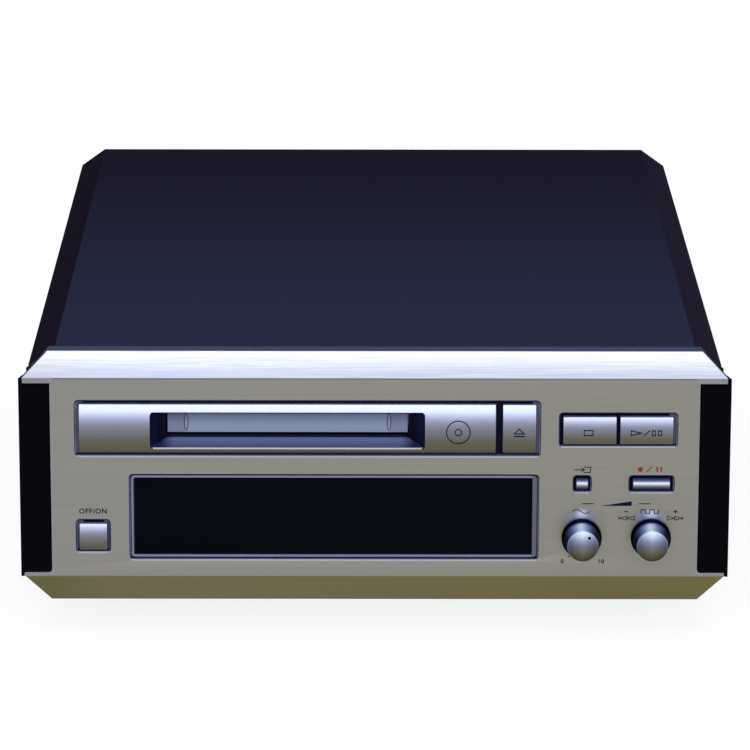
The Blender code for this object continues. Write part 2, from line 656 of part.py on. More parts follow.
def cheek(name, side):
    """Gloss black end moulding, notched for the panel's lips, with shoulders behind its mitres."""
    inner = CHEEK_INNER + SEAT_GAP
    rings = []
    for depth, outer in ((-CHEEK_PROUD, BODY_WIDTH / 2), (PANEL_DEPTH, BODY_WIDTH / 2 - CHEEK_TAPER)):
        rings.append([(side * inner, at(depth), FACE_BOTTOM), (side * outer, at(depth), FACE_BOTTOM),
                      (side * outer, at(depth), FACE_TOP), (side * inner, at(depth), FACE_TOP)])
    end = loft(name, rings)
    top = PANEL_TOP - PANEL_FLANGE - SEAT_GAP
    edge = BODY_WIDTH / 2 - CHEEK_TAPER
    incline = COVER_CHAMFER_WIDTH / COVER_CHAMFER_HEIGHT
    turn_z = PANEL_TOP - (edge - COVER_HALF + COVER_CHAMFER_WIDTH) / incline - SEAT_GAP
    top_x = edge - (top - turn_z) * incline
    ends = sorted((side * (inner - OVERRUN), side * (PANEL_WIDTH / 2 + LIP_FIT)))
    for level in (-1, 1):
        lip = LIP_TOP if level > 0 else LIP_BOTTOM
        middle = (FACE_TOP + FACE_BOTTOM) / 2
        heights = sorted(middle + level * (FACE_HEIGHT / 2 + step)
                         for step in (OVERRUN, -lip - SEAT_GAP))
        pocket = block("lip_pocket", ends, (at(-OVERRUN), at(PANEL_WALL + SEAT_GAP)), heights)
        shape(end, "DIFFERENCE", [pocket])
        outline = [(inner, FACE_TOP - EMBED), (edge, FACE_TOP - EMBED), (edge, turn_z),
                   (top_x, top), (inner, top)]
        outline = [(side * x, middle + level * (z - middle)) for x, z in outline]
        shoulder = prism("shoulder", outline, "Y", at(PANEL_DEPTH - SHOULDER_THICKNESS),
                         at(PANEL_DEPTH))
        shape(end, "UNION", [shoulder])
    low = FACE_BOTTOM + LIP_BOTTOM + SEAT_GAP
    corner = [(inner - SEAT_GAP, low - SEAT_GAP), (inner + CHEEK_ROUND, low - SEAT_GAP)]
    corner += lower_corner(inner, low, CHEEK_ROUND) + [(inner - SEAT_GAP, low + CHEEK_ROUND)]
    round_cut = prism("corner_cut", [(side * x, z) for x, z in corner], "Y", at(-OVERRUN),
                      at(PANEL_WALL + SEAT_GAP))
    shape(end, "DIFFERENCE", [round_cut])
    return finish(end, (0.004, 0.004, 0.006), 0.08, 0.0)


def bowed(name, x_range, z_range, crown, sag, back):
    """Slab whose front bows forward in an arc from its lower edge to its upper edge."""
    low, high = z_range
    half = (high - low) / 2
    radius = (half * half + sag * sag) / (2 * sag)
    sweep = math.asin(half / radius)
    section = []
    for step in range(BOW_STEPS + 1):
        angle = sweep * (2 * step / BOW_STEPS - 1)
        section.append((at(crown + radius * (1 - math.cos(angle))), low + half + radius * math.sin(angle)))
    section += [(at(back), high), (at(back), low)]
    return prism(name, section, "X", *x_range)


def key(name, x_range, z_range, crown, sag):
    """Push key on a stem that reaches back to its switch."""
    cap = soften(bowed(name, x_range, z_range, crown, sag, KEY_BACK), KEY_EDGE)
    x = sum(x_range) / 2
    z = sum(z_range) / 2
    stem = block(name + "_stem", (x - KEY_STEM / 2, x + KEY_STEM / 2),
                 (at(KEY_BACK - EMBED), at(KEY_STEM_BACK)), (z - KEY_STEM / 2, z + KEY_STEM / 2))
    shape(cap, "UNION", [stem])
    finish(cap, (0.5, 0.51, 0.56), 0.3, 0.6)
    return hang_at(cap, (x, at(crown), z))


def window_span(centre, size, low_gap, high_gap):
    """Range that a piece takes in a window, with a gap at each end."""
    return (centre - size / 2 + low_gap, centre + size / 2 - high_gap)


def loader_heights():
    """Heights that the bezel and the eject key fill in the loader window."""
    return window_span(up(LOADER_UP), LOADER_HEIGHT, KEY_BOTTOM_GAP, KEY_TOP_GAP)


def keys():
    """The six push keys of the front panel."""
    key("eject_button", (EJECT_LEFT, EJECT_RIGHT), loader_heights(), KEY_CROWN, TALL_KEY_SAG)
    heights = window_span(up(TRANSPORT_UP), TRANSPORT_HEIGHT, KEY_BOTTOM_GAP, KEY_TOP_GAP)
    middle_gap = TRANSPORT_WIDTH - 2 * (KEY_SIDE_GAP + TRANSPORT_KEY_WIDTH)
    for name, side in (("stop_button", -1), ("play_button", 1)):
        ends = sorted((TRANSPORT_X + side * middle_gap / 2,
                       TRANSPORT_X + side * (middle_gap / 2 + TRANSPORT_KEY_WIDTH)))
        key(name, ends, heights, KEY_CROWN, WIDE_KEY_SAG)
    key("power_button", window_span(POWER_X, POWER_SIZE, POWER_KEY_GAP, POWER_KEY_GAP),
        window_span(up(POWER_UP), POWER_SIZE, KEY_BOTTOM_GAP, KEY_TOP_GAP), 0, WIDE_KEY_SAG)
    heights = window_span(up(SMALL_KEY_UP), SMALL_KEY_HEIGHT, KEY_BOTTOM_GAP, KEY_SIDE_GAP)
    for name, x, wide, gap in (("input_button", LEFT_COLUMN_X, INPUT_WIDTH, INPUT_KEY_GAP),
                               ("record_button", RIGHT_COLUMN_X, RECORD_WIDTH, RECORD_KEY_GAP)):
        key(name, window_span(x, wide, gap, gap), heights, 0, ROUND_KEY_SAG)


def key_places():
    """Centres of the keys, where the sub-panel has holes and the board has switches."""
    return [(piece.location.x, piece.location.z) for piece in bpy.data.objects
            if piece.name.endswith("_button")]


def loader_bezel():
    """Silver bezel with a flared disc mouth and, behind it, the frame that carries the flap."""
    bezel = bowed("loader_bezel", (BEZEL_LEFT, BEZEL_RIGHT), loader_heights(), KEY_CROWN, TALL_KEY_SAG, BEZEL_BACK)
    soften(bezel, KEY_EDGE)
    boss = block("bezel_boss", (SLOT_X - BOSS_WIDTH / 2, SLOT_X + BOSS_WIDTH / 2),
                 (at(BEZEL_BACK - EMBED), at(BOSS_BACK)), (up(BOSS_FLOOR), up(BOSS_TOP)))
    throat_width = DOOR_WIDTH + 2 * SEAT_GAP
    throat_height = THROAT_TOP - THROAT_FLOOR
    throat = rounded(SLOT_X, up(THROAT_FLOOR + throat_height / 2), throat_width, throat_height, SEAT_GAP)
    mouth = rounded(SLOT_X, up(MOUTH_UP), MOUTH_WIDTH, MOUTH_HEIGHT, WINDOW_RADIUS)
    edge = TALL_KEY_SAG - KEY_CROWN
    passage = loft("disc_passage", [at_depth(mouth, -OVERRUN), at_depth(mouth, edge),
                                    at_depth(throat, THROAT_FRONT),
                                    at_depth(throat, BOSS_BACK + OVERRUN)])
    reach = throat_width / 2 + HINGE_PIN_REACH + SEAT_GAP
    bearing = rod("hinge_bore", (SLOT_X - reach, at(HINGE_DEPTH), up(HINGE_UP)), (1, 0, 0),
                  HINGE_PIN_RADIUS + RUNNING_GAP, 2 * reach, TINY_STEPS)
    shape(bezel, "UNION", [boss])
    shape(bezel, "DIFFERENCE", [passage, bearing])
    return finish(bezel, (0.5, 0.51, 0.56), 0.3, 0.6)


def disc_door():
    """Flap that closes the mouth, on two pins moulded at its upper corners."""
    half = DOOR_WIDTH / 2
    thick = DOOR_THICKNESS / 2
    section = [(at(DOOR_FRONT), up(DOOR_BOTTOM)), (at(DOOR_FRONT + DOOR_THICKNESS), up(DOOR_BOTTOM))]
    for step in range(SMALL_STEPS // 2 + 1):
        angle = math.tau / SMALL_STEPS * step
        section.append((at(HINGE_DEPTH + thick * math.cos(angle)), up(HINGE_UP + thick * math.sin(angle))))
    door = prism("disc_door", section, "X", SLOT_X - half, SLOT_X + half)
    for side in (-1, 1):
        pin = rod("door_pin", (SLOT_X + side * (half - EMBED), at(HINGE_DEPTH), up(HINGE_UP)),
                  (side, 0, 0), HINGE_PIN_RADIUS, HINGE_PIN_REACH + EMBED, TINY_STEPS)
        shape(door, "UNION", [pin])
        oval = []
        for step in range(SMALL_STEPS):
            angle = math.tau / SMALL_STEPS * step
            oval.append((SLOT_X + side * DIMPLE_OFFSET + DIMPLE_WIDTH / 2 * math.cos(angle),
                         up(DIMPLE_UP) + DIMPLE_HEIGHT / 2 * math.sin(angle)))
        dimple = prism("dimple", oval, "Y", at(DOOR_FRONT - OVERRUN), at(DOOR_FRONT + DIMPLE_DEPTH))
        shape(door, "DIFFERENCE", [dimple])
    finish(door, (0.42, 0.44, 0.5), 0.35, 0.5)
    return hang_at(door, (SLOT_X, at(HINGE_DEPTH), up(HINGE_UP)))


def display():
    """Display frame, smoked window and the stepped glass tube behind them."""
    wide = DISPLAY_WIDTH - 2 * DISPLAY_GAP
    tall = DISPLAY_HEIGHT - 2 * DISPLAY_GAP
    spans = [window_span(DISPLAY_X, DISPLAY_WIDTH, DISPLAY_GAP, DISPLAY_GAP),
             window_span(up(DISPLAY_UP), DISPLAY_HEIGHT, DISPLAY_LOWER_GAP, DISPLAY_GAP)]
    borders = ((DISPLAY_FRAME_LEFT, DISPLAY_FRAME_RIGHT), (DISPLAY_FRAME_RAIL, DISPLAY_FRAME_RAIL))
    outer = rounded_spans(*spans, WINDOW_RADIUS)
    spans = [(low + first, high - last) for (low, high), (first, last) in zip(spans, borders)]
    inner = rounded_spans(*spans, SEAT_GAP)
    frame = prism("display_frame", outer, "Y", at(DISPLAY_FRAME_FRONT), at(PANEL_WALL))
    light = prism("display_light", inner, "Y", at(-OVERRUN), at(PANEL_WALL + OVERRUN))
    shape(frame, "DIFFERENCE", [light])
    finish(frame, (0.16, 0.16, 0.24), 0.3, 0.3)
    pane = rounded_spans(*[(low + SEAT_GAP, high - SEAT_GAP) for low, high in spans], SEAT_GAP)
    window = prism("display_window", pane, "Y", at(DISPLAY_WINDOW_FRONT), at(PANEL_WALL))
    finish(window, (0.005, 0.006, 0.012), 0.06, 0.0)
    half = wide / 2 - TUBE_MARGIN
    rise = tall / 2 - TUBE_MARGIN / 2
    middle = TUBE_FRONT + TUBE_GLASS
    tube = block("display_tube", (DISPLAY_X - half, DISPLAY_X + half),
                 (at(middle), at(BOARD_FRONT - SEAT_GAP)), (up(DISPLAY_UP) - rise, up(DISPLAY_UP) + rise))
    cover_glass = block("tube_cover_glass",
                        (DISPLAY_X - half + TUBE_STEP, DISPLAY_X + half - TUBE_STEP),
                        (at(TUBE_FRONT), at(middle + EMBED)),
                        (up(DISPLAY_UP) - rise + TUBE_STEP, up(DISPLAY_UP) + rise - TUBE_STEP))
    shape(tube, "UNION", [cover_glass])
    finish(tube, (0.06, 0.09, 0.1), 0.1, 0.0)


def board_posts():
    """Places of the posts that carry the switch board."""
    return ((-BOARD_HALF + POST_INSET, BOARD_LOW + POST_INSET),
            (BOARD_HALF - POST_INSET, BOARD_LOW + POST_INSET),
            (-BOARD_HALF + POST_INSET, BOARD_STEP - POST_INSET),
            (BOARD_HALF - POST_INSET, BOARD_HIGH - POST_INSET))


def front_subpanel():
    """Black moulding that backs the panel and carries the bezel, the keys and the switch board."""
    front = PANEL_WALL + SEAT_GAP
    back = front + SUBPANEL_THICKNESS
    rim_top = PANEL_TOP - PANEL_FLANGE - SEAT_GAP
    rim_front = SLOPE_SETBACK + front
    upper = [(at(back), FACE_TOP - SUBPANEL_RIM), (at(rim_front + SUBPANEL_RIM / 2), rim_top - SUBPANEL_RIM),
             (at(SUBPANEL_BACK), rim_top - SUBPANEL_RIM), (at(SUBPANEL_BACK), rim_top),
             (at(rim_front), rim_top), (at(front), FACE_TOP)]
    lower = [(y, FACE_BOTTOM + FACE_TOP - z) for y, z in reversed(upper)]
    panel = prism("front_subpanel", upper + lower, "X", -CHEEK_INNER, CHEEK_INNER)
    depths = (at(front - OVERRUN), at(back + OVERRUN))
    gap = SUBPANEL_CLEARANCE
    cuts = [block("boss_opening", (SLOT_X - BOSS_WIDTH / 2 - gap, SLOT_X + BOSS_WIDTH / 2 + gap), depths,
                  (up(BOSS_FLOOR) - gap, up(BOSS_TOP) + gap)),
            block("tube_opening", (DISPLAY_X - DISPLAY_WIDTH / 2 + TUBE_MARGIN,
                                   DISPLAY_X + DISPLAY_WIDTH / 2 - TUBE_MARGIN), depths,
                  (up(DISPLAY_UP) - DISPLAY_HEIGHT / 2 + TUBE_MARGIN / 2,
                   up(DISPLAY_UP) + DISPLAY_HEIGHT / 2 - TUBE_MARGIN / 2))]
    half = KEY_STEM / 2 + gap
    for x, z in key_places():
        cuts.append(block("stem_hole", (x - half, x + half), depths, (z - half, z + half)))
    for x in (LEFT_COLUMN_X, RIGHT_COLUMN_X):
        cuts.append(rod("bushing_hole", (x, at(front - OVERRUN), up(KNOB_UP)), (0, 1, 0),
                        BUSHING_RADIUS + gap, SUBPANEL_THICKNESS + 2 * OVERRUN))
    shape(panel, "DIFFERENCE", cuts)
    for x, height in board_posts():
        post = rod("board_post", (x, at(back - EMBED), up(height)), (0, 1, 0), POST_RADIUS,
                   BOARD_FRONT - SEAT_GAP - back + EMBED)
        shape(panel, "UNION", [post])
    return finish(panel, (0.012, 0.012, 0.014), 0.55, 0.0)


def front_board():
    """Switch board with the tact switches that the key stems press."""
    outline = [(-BOARD_HALF, up(BOARD_LOW)), (BOARD_HALF, up(BOARD_LOW)), (BOARD_HALF, up(BOARD_HIGH)),
               (EJECT_LEFT, up(BOARD_HIGH)), (EJECT_LEFT, up(BOARD_STEP)),
               (-BOARD_HALF, up(BOARD_STEP))]
    board = prism("front_board", outline, "Y", at(BOARD_FRONT), at(BOARD_FRONT + BOARD_THICKNESS))
    half = SWITCH_SIZE / 2
    for x, z in key_places():
        switch = block("switch", (x - half, x + half), (at(SWITCH_FRONT), at(BOARD_FRONT + EMBED)),
                       (z - half, z + half))
        shape(board, "UNION", [switch])
    return finish(board, (0.05, 0.22, 0.1), 0.5, 0.0)


def knob_profile():
    """Tapered skirt, small round and a shallow dome, with a blind bore for the shaft."""
    profile = [(SHAFT_RADIUS + RUNNING_GAP, KNOB_LIFT), (KNOB_BASE_RADIUS, KNOB_LIFT),
               (KNOB_BASE_RADIUS, KNOB_LIFT + KNOB_SKIRT), (KNOB_FACE_RADIUS, KNOB_EDGE_REACH - KNOB_ROUND)]
    rim = KNOB_FACE_RADIUS - KNOB_ROUND
    rise = KNOB_REACH - KNOB_EDGE_REACH
    for step in range(DOME_STEPS + 1):
        share = step / DOME_STEPS
        profile.append((rim * (1 - share), KNOB_EDGE_REACH + rise * (1 - (1 - share) ** 2)))
    profile += [(0, KNOB_LIFT + KNOB_BORE_DEPTH), (SHAFT_RADIUS + RUNNING_GAP, KNOB_LIFT + KNOB_BORE_DEPTH)]
    return profile


def knob_with_shaft(knob_name, shaft_name, body_name, x, body_size, dotted):
    """One knob, the flatted shaft inside it, and the body that the shaft turns in."""
    forward = (0, -1, 0)
    foot = (x, at(0), up(KNOB_UP))
    knob = turned(knob_name, knob_profile(), foot, forward, ROUND_STEPS)
    if dotted:
        dot_place = (x + DOT_ORBIT * math.sin(KNOB_ANGLE), at(-KNOB_REACH + DOT_DEPTH + WELD - EDGE_CHAMFER),
                     up(KNOB_UP) + DOT_ORBIT * math.cos(KNOB_ANGLE))
        dot = turned("pointer_dot", [(0, 0), (DOT_RADIUS, 0), (DOT_RADIUS, OVERRUN), (0, OVERRUN)],
                     (dot_place[0], at(-KNOB_EDGE_REACH + WELD), dot_place[2]), forward, TINY_STEPS)
        shape(knob, "DIFFERENCE", [dot])
    finish(knob, (0.5, 0.51, 0.56), 0.25, 0.8)
    hang_at(knob, foot)
    inner_end = POT_FRONT + SPINDLE_REACH
    shoulder = BUSHING_FRONT - SEAT_GAP
    tip = KNOB_LIFT + KNOB_BORE_DEPTH - SEAT_GAP
    shaft = turned(shaft_name, [(0, 0), (SPINDLE_RADIUS, 0), (SPINDLE_RADIUS, inner_end - shoulder),
                                (SHAFT_RADIUS, inner_end - shoulder), (SHAFT_RADIUS, inner_end + tip),
                                (0, inner_end + tip)], (x, at(inner_end), up(KNOB_UP)), forward, SMALL_STEPS)
    flat = block("shaft_flat", (x - SHAFT_RADIUS - OVERRUN, x + SHAFT_RADIUS + OVERRUN),
                 (at(-tip - OVERRUN), at(-KNOB_LIFT)),
                 (up(KNOB_UP) - SHAFT_RADIUS - OVERRUN, up(KNOB_UP) - SHAFT_RADIUS + SHAFT_FLAT))
    shape(shaft, "DIFFERENCE", [flat])
    finish(shaft, (0.6, 0.6, 0.62), 0.3, 1.0)
    hang_at(shaft, foot)
    half = body_size / 2
    body = block(body_name, (x - half, x + half), (at(POT_FRONT), at(BOARD_FRONT - SEAT_GAP)),
                 (up(KNOB_UP) - half, up(KNOB_UP) + half))
    bushing = rod("bushing", (x, at(BUSHING_FRONT), up(KNOB_UP)), (0, 1, 0), BUSHING_RADIUS,
                  POT_FRONT - BUSHING_FRONT + EMBED)
    bore = rod("spindle_bore", (x, at(BUSHING_FRONT - OVERRUN), up(KNOB_UP)), (0, 1, 0),
               SPINDLE_RADIUS + RUNNING_GAP, inner_end + SEAT_GAP - BUSHING_FRONT + OVERRUN)
    shape(body, "UNION", [bushing])
    shape(body, "DIFFERENCE", [bore])
    finish(body, (0.35, 0.36, 0.36), 0.4, 0.7)


def cover_outline(bottom):
    """Outer outline of the cover, chamfered along both upper edges, down to a given height."""
    turn_z = PANEL_TOP - COVER_CHAMFER_HEIGHT
    flat = COVER_HALF - COVER_CHAMFER_WIDTH
    return [(-COVER_HALF, bottom), (COVER_HALF, bottom), (COVER_HALF, turn_z), (flat, PANEL_TOP),
            (-flat, PANEL_TOP), (-COVER_HALF, turn_z)]


def inset(outline, wall):
    """Outline moved inwards by a wall, with its corners kept."""
    inner = []
    for before, here, after in zip(outline[-1:] + outline[:-1], outline, outline[1:] + outline[:1]):
        arriving = (Vector(here) - Vector(before)).normalized()
        leaving = (Vector(after) - Vector(here)).normalized()
        normals = Vector((-arriving.y, arriving.x)), Vector((-leaving.y, leaving.x))
        shift = (normals[0] + normals[1]) * (wall / (1 + normals[0].dot(normals[1])))
        inner.append(tuple(Vector(here) + shift))
    return inner


def side_screw_places():
    """Depths of the screws that hold the cover's sides to the tray."""
    return (SIDE_SCREW_FRONT, SIDE_SCREW_BACK)


def top_cover():
    """Steel sheet folded over the top and both sides, with a screwed lip at the back."""
    skirt = FACE_BOTTOM + COVER_SKIRT_UP
    cover = prism("top_cover", cover_outline(skirt), "Y", at(COVER_FRONT), at(BODY_DEPTH))
    hollow = inset(cover_outline(skirt - COVER_SHEET - OVERRUN), COVER_SHEET)
    inside = prism("cover_inside", hollow, "Y", at(COVER_FRONT - OVERRUN), at(BODY_DEPTH - COVER_SHEET))
    half = COVER_HALF - COVER_SHEET
    mouth = [(-half, skirt - OVERRUN), (half, skirt - OVERRUN), (half, PANEL_TOP - COVER_LIP),
             (-half, PANEL_TOP - COVER_LIP)]
    rear = prism("cover_rear", mouth, "Y", at(BODY_DEPTH - 2 * OVERRUN), at(BODY_DEPTH + OVERRUN))
    shape(cover, "DIFFERENCE", [inside, rear])
    for depth in side_screw_places():
        hole = rod("side_screw_hole", (-COVER_HALF - OVERRUN, at(depth), up(SIDE_SCREW_UP)), (1, 0, 0),
                   SCREW_SHANK_RADIUS + SEAT_GAP, 2 * (COVER_HALF + OVERRUN), TINY_STEPS)
        shape(cover, "DIFFERENCE", [hole])
    for side in (-1, 1):
        hole = rod("rear_screw_hole", (side * REAR_SCREW_X, at(BODY_DEPTH - 2 * OVERRUN),
                                       PANEL_TOP - REAR_SCREW_DROP), (0, 1, 0),
                   SCREW_SHANK_RADIUS + SEAT_GAP, 2 * (OVERRUN + OVERRUN), TINY_STEPS)
        shape(cover, "DIFFERENCE", [hole])
    return finish(cover, (0.016, 0.017, 0.03), 0.45, 0.3)


def tray_outline(top):
    """Outer outline of the tray, chamfered along both lower edges, up to a given height."""
    turn_z = CHASSIS_BOTTOM + CHASSIS_CHAMFER_HEIGHT
    flat = CHASSIS_HALF - COVER_CHAMFER_WIDTH
    return [(-flat, CHASSIS_BOTTOM), (flat, CHASSIS_BOTTOM), (CHASSIS_HALF, turn_z), (CHASSIS_HALF, top),
            (-CHASSIS_HALF, top), (-CHASSIS_HALF, turn_z)]


def standoff_places():
    """Corners of the two boards that stand on the tray."""
    places = []
    for left, right, front, back in ((MAIN_LEFT, MAIN_RIGHT, MAIN_FRONT, MAIN_BACK),
                                     (SUPPLY_LEFT, SUPPLY_RIGHT, SUPPLY_FRONT, SUPPLY_BACK)):
        for x in (left + STANDOFF_INSET, right - STANDOFF_INSET):
            for depth in (front + STANDOFF_INSET, back - STANDOFF_INSET):
                places.append((x, depth))
    return places


def chassis():
    """Steel tray with folded sides and front, standoffs for the boards and vents in its floor."""
    top = FACE_BOTTOM + CHASSIS_FLANGE_UP
    tray = prism("chassis", tray_outline(top), "Y", at(CHASSIS_FRONT), at(CHASSIS_BACK))
    hollow = inset(tray_outline(top + CHASSIS_SHEET + OVERRUN), CHASSIS_SHEET)
    inside = prism("tray_inside", hollow, "Y", at(CHASSIS_FRONT + CHASSIS_SHEET), at(CHASSIS_BACK + OVERRUN))
    half = CHASSIS_HALF - CHASSIS_SHEET
    fold = block("front_fold_cut", (-half, half), (at(CHASSIS_FRONT - OVERRUN), at(CHASSIS_FRONT + OVERRUN)),
                 (CHASSIS_FLOOR + CHASSIS_FOLD, top + OVERRUN))
    shape(tray, "DIFFERENCE", [inside, fold])
    for x, depth in standoff_places():
        post = rod("standoff", (x, at(depth), CHASSIS_FLOOR - EMBED), (0, 0, 1), STANDOFF_RADIUS,
                   BOARD_UP - SEAT_GAP - CHASSIS_FLOOR + EMBED, TINY_STEPS)
        shape(tray, "UNION", [post])
    for depth in side_screw_places():
        hole = rod("side_screw_hole", (-CHASSIS_HALF - OVERRUN, at(depth), up(SIDE_SCREW_UP)), (1, 0, 0),
                   SCREW_SHANK_RADIUS + SEAT_GAP, 2 * (CHASSIS_HALF + OVERRUN), TINY_STEPS)
        shape(tray, "DIFFERENCE", [hole])
    for count in range(VENT_COUNT):
        x = HEAT_SINK_X + (count - (VENT_COUNT - 1) / 2) * VENT_PITCH
        middle = (SUPPLY_FRONT + SUPPLY_BACK) / 2
        vent = block("floor_vent", (x - VENT_WIDTH / 2, x + VENT_WIDTH / 2),
                     (at(middle - VENT_LENGTH / 2), at(middle + VENT_LENGTH / 2)),
                     (CHASSIS_BOTTOM - OVERRUN, CHASSIS_FLOOR + OVERRUN))
        shape(tray, "DIFFERENCE", [vent])
    return finish(tray, (0.45, 0.46, 0.46), 0.4, 0.9)


def jack_places():
    """Centres of the two by two phono jacks."""
    half = JACK_PITCH / 2
    return [(JACK_X + across * half, up(JACK_UP) + rise * half) for across in (-1, 1) for rise in (-1, 1)]


def optical_places():
    """Centres of the two optical sockets, beside the phono jacks."""
    return [(OPTICAL_X + side * OPTICAL_PITCH / 2, up(JACK_UP)) for side in (-1, 1)]


def rear_panel():
    """Steel plate that closes the back and frames the sockets."""
    half = CHASSIS_HALF - CHASSIS_SHEET - SEAT_GAP
    low = CHASSIS_FLOOR + SEAT_GAP
    high = PANEL_TOP - COVER_SHEET - SEAT_GAP
    flat = half - COVER_CHAMFER_WIDTH
    outline = [(-flat, low), (flat, low), (half, low + CHASSIS_CHAMFER_HEIGHT),
               (half, high - COVER_CHAMFER_HEIGHT), (flat, high), (-flat, high),
               (-half, high - COVER_CHAMFER_HEIGHT), (-half, low + CHASSIS_CHAMFER_HEIGHT)]
    panel = prism("rear_panel", outline, "Y", at(REAR_PANEL_FRONT), at(CHASSIS_BACK))
    depth = at(REAR_PANEL_FRONT - OVERRUN)
    through = REAR_SHEET + 2 * OVERRUN
    cuts = [rod("jack_hole", (x, depth, z), (0, 1, 0), JACK_RADIUS + SEAT_GAP, through)
            for x, z in jack_places()]
    reach = OPTICAL_SIZE / 2 + SEAT_GAP
    cuts += [block("optical_hole", (x - reach, x + reach), (depth, depth + through), (z - reach, z + reach))
             for x, z in optical_places()]
    wide = INLET_WIDTH / 2 + SEAT_GAP
    tall = INLET_HEIGHT / 2 + SEAT_GAP
    cuts.append(block("inlet_hole", (INLET_X - wide, INLET_X + wide), (depth, depth + through),
                      (up(INLET_UP) - tall, up(INLET_UP) + tall)))
    cuts += [rod("rear_screw_hole", (side * REAR_SCREW_X, depth, PANEL_TOP - REAR_SCREW_DROP), (0, 1, 0),
                 SCREW_SHANK_RADIUS + SEAT_GAP, through, TINY_STEPS) for side in (-1, 1)]
    shape(panel, "DIFFERENCE", cuts)
    return finish(panel, (0.03, 0.03, 0.035), 0.5, 0.4)


def rca_jacks():
    """Four phono jacks in one moulded block behind the rear panel."""
    half = JACK_PITCH / 2 + JACK_BLOCK_MARGIN
    back = REAR_PANEL_FRONT - SEAT_GAP
    body = block("rca_jacks", (JACK_X - half, JACK_X + half), (at(back - JACK_BLOCK_DEPTH), at(back)),
                 (BOARD_UP + BOARD_THICKNESS + SEAT_GAP, up(JACK_UP) + half))
    for x, z in jack_places():
        barrel = rod("jack_barrel", (x, at(back - EMBED), z), (0, 1, 0), JACK_RADIUS,
                     BODY_DEPTH + JACK_REACH - back + EMBED)
        bore = rod("jack_bore", (x, at(back), z), (0, 1, 0), JACK_BORE,
                   BODY_DEPTH + JACK_REACH - back + OVERRUN, TINY_STEPS)
        shape(body, "UNION", [barrel])
        shape(body, "DIFFERENCE", [bore])
    return finish(body, (0.05, 0.05, 0.055), 0.45, 0.1)


def optical_jacks():
    """Two square optical sockets on one foot, each with a hinged shutter shown as a recessed flap."""
    back = CHASSIS_BACK + OPTICAL_PROUD
    front = REAR_PANEL_FRONT - OPTICAL_DEPTH
    half = OPTICAL_SIZE / 2
    ends = OPTICAL_PITCH / 2 + half
    body = block("optical_jacks", (OPTICAL_X - ends, OPTICAL_X + ends), (at(front), at(REAR_PANEL_FRONT - SEAT_GAP)),
                 (BOARD_UP + BOARD_THICKNESS + SEAT_GAP, up(JACK_UP) + half))
    for x, z in optical_places():
        socket = block("optical_socket", (x - half, x + half),
                       (at(REAR_PANEL_FRONT - SEAT_GAP - EMBED), at(back)), (z - half, z + half - SEAT_GAP))
        shape(body, "UNION", [socket])
        flap = OPTICAL_FLAP / 2
        recess = block("flap_recess", (x - flap, x + flap), (at(back - OPTICAL_FLAP_DEPTH), at(back + OVERRUN)),
                       (z - flap, z + flap))
        shape(body, "DIFFERENCE", [recess])
    return finish(body, (0.012, 0.012, 0.014), 0.5, 0.0)


def ac_inlet():
    """Two-pin appliance inlet with a flange behind the rear panel."""
    wide = INLET_WIDTH / 2
    tall = INLET_HEIGHT / 2
    z = up(INLET_UP)
    shell = block("ac_inlet", (INLET_X - wide, INLET_X + wide), (at(CHASSIS_BACK - INLET_DEPTH), at(CHASSIS_BACK)),
                  (z - tall, z + tall))
    grow = INLET_FLANGE
    flange = block("inlet_flange", (INLET_X - wide - grow, INLET_X + wide + grow),
                   (at(REAR_PANEL_FRONT - SEAT_GAP - grow), at(REAR_PANEL_FRONT - SEAT_GAP)),
                   (z - tall - grow, z + tall + grow))
    recess = prism("inlet_recess", rounded(INLET_X, z, INLET_WIDTH - 2 * INLET_WALL, INLET_HEIGHT - 2 * INLET_WALL,
                                           INLET_WALL), "Y", at(CHASSIS_BACK - INLET_RECESS), at(CHASSIS_BACK + OVERRUN))
    shape(shell, "UNION", [flange])
    shape(shell, "DIFFERENCE", [recess])
    for side in (-1, 1):
        pin = rod("inlet_pin", (INLET_X + side * INLET_PIN_PITCH / 2, at(CHASSIS_BACK - INLET_RECESS - EMBED), z),
                  (0, 1, 0), INLET_PIN_RADIUS, INLET_RECESS - OVERRUN + EMBED, TINY_STEPS)
        shape(shell, "UNION", [pin])
    return finish(shell, (0.014, 0.014, 0.016), 0.5, 0.0)


def feet():
    """Four round feet with a set-back pad below."""
    profile = [(0, 0), (FOOT_PAD_RADIUS, 0), (FOOT_PAD_RADIUS, FOOT_PAD), (FOOT_RADIUS, FOOT_PAD),
               (FOOT_RADIUS, FOOT_HEIGHT / 2), (FOOT_TOP_RADIUS, FOOT_HEIGHT), (0, FOOT_HEIGHT)]
    for name, side, depth in (("foot_front_left", -1, FOOT_FRONT), ("foot_front_right", 1, FOOT_FRONT),
                              ("foot_rear_left", -1, FOOT_BACK), ("foot_rear_right", 1, FOOT_BACK)):
        foot = turned(name, profile, (side * FOOT_X, at(depth), 0), (0, 0, 1), ROUND_STEPS)
        finish(foot, (0.015, 0.015, 0.017), 0.7, 0.0)


def screw(name, seat, direction):
    """Pan head screw whose head rests on a sheet at seat and whose shank goes the other way."""
    rim = SCREW_HEAD_HEIGHT / 2
    recess = SCREW_HEAD_HEIGHT - SCREW_RECESS
    profile = [(0, -SCREW_LENGTH), (SCREW_SHANK_RADIUS, -SCREW_LENGTH), (SCREW_SHANK_RADIUS, SEAT_GAP),
               (SCREW_HEAD_RADIUS, SEAT_GAP), (SCREW_HEAD_RADIUS, rim), (SCREW_SHANK_RADIUS, SCREW_HEAD_HEIGHT),
               (SCREW_RECESS_RADIUS, SCREW_HEAD_HEIGHT), (0, recess)]
    return finish(turned(name, profile, seat, direction, TINY_STEPS), (0.02, 0.02, 0.022), 0.35, 0.8)


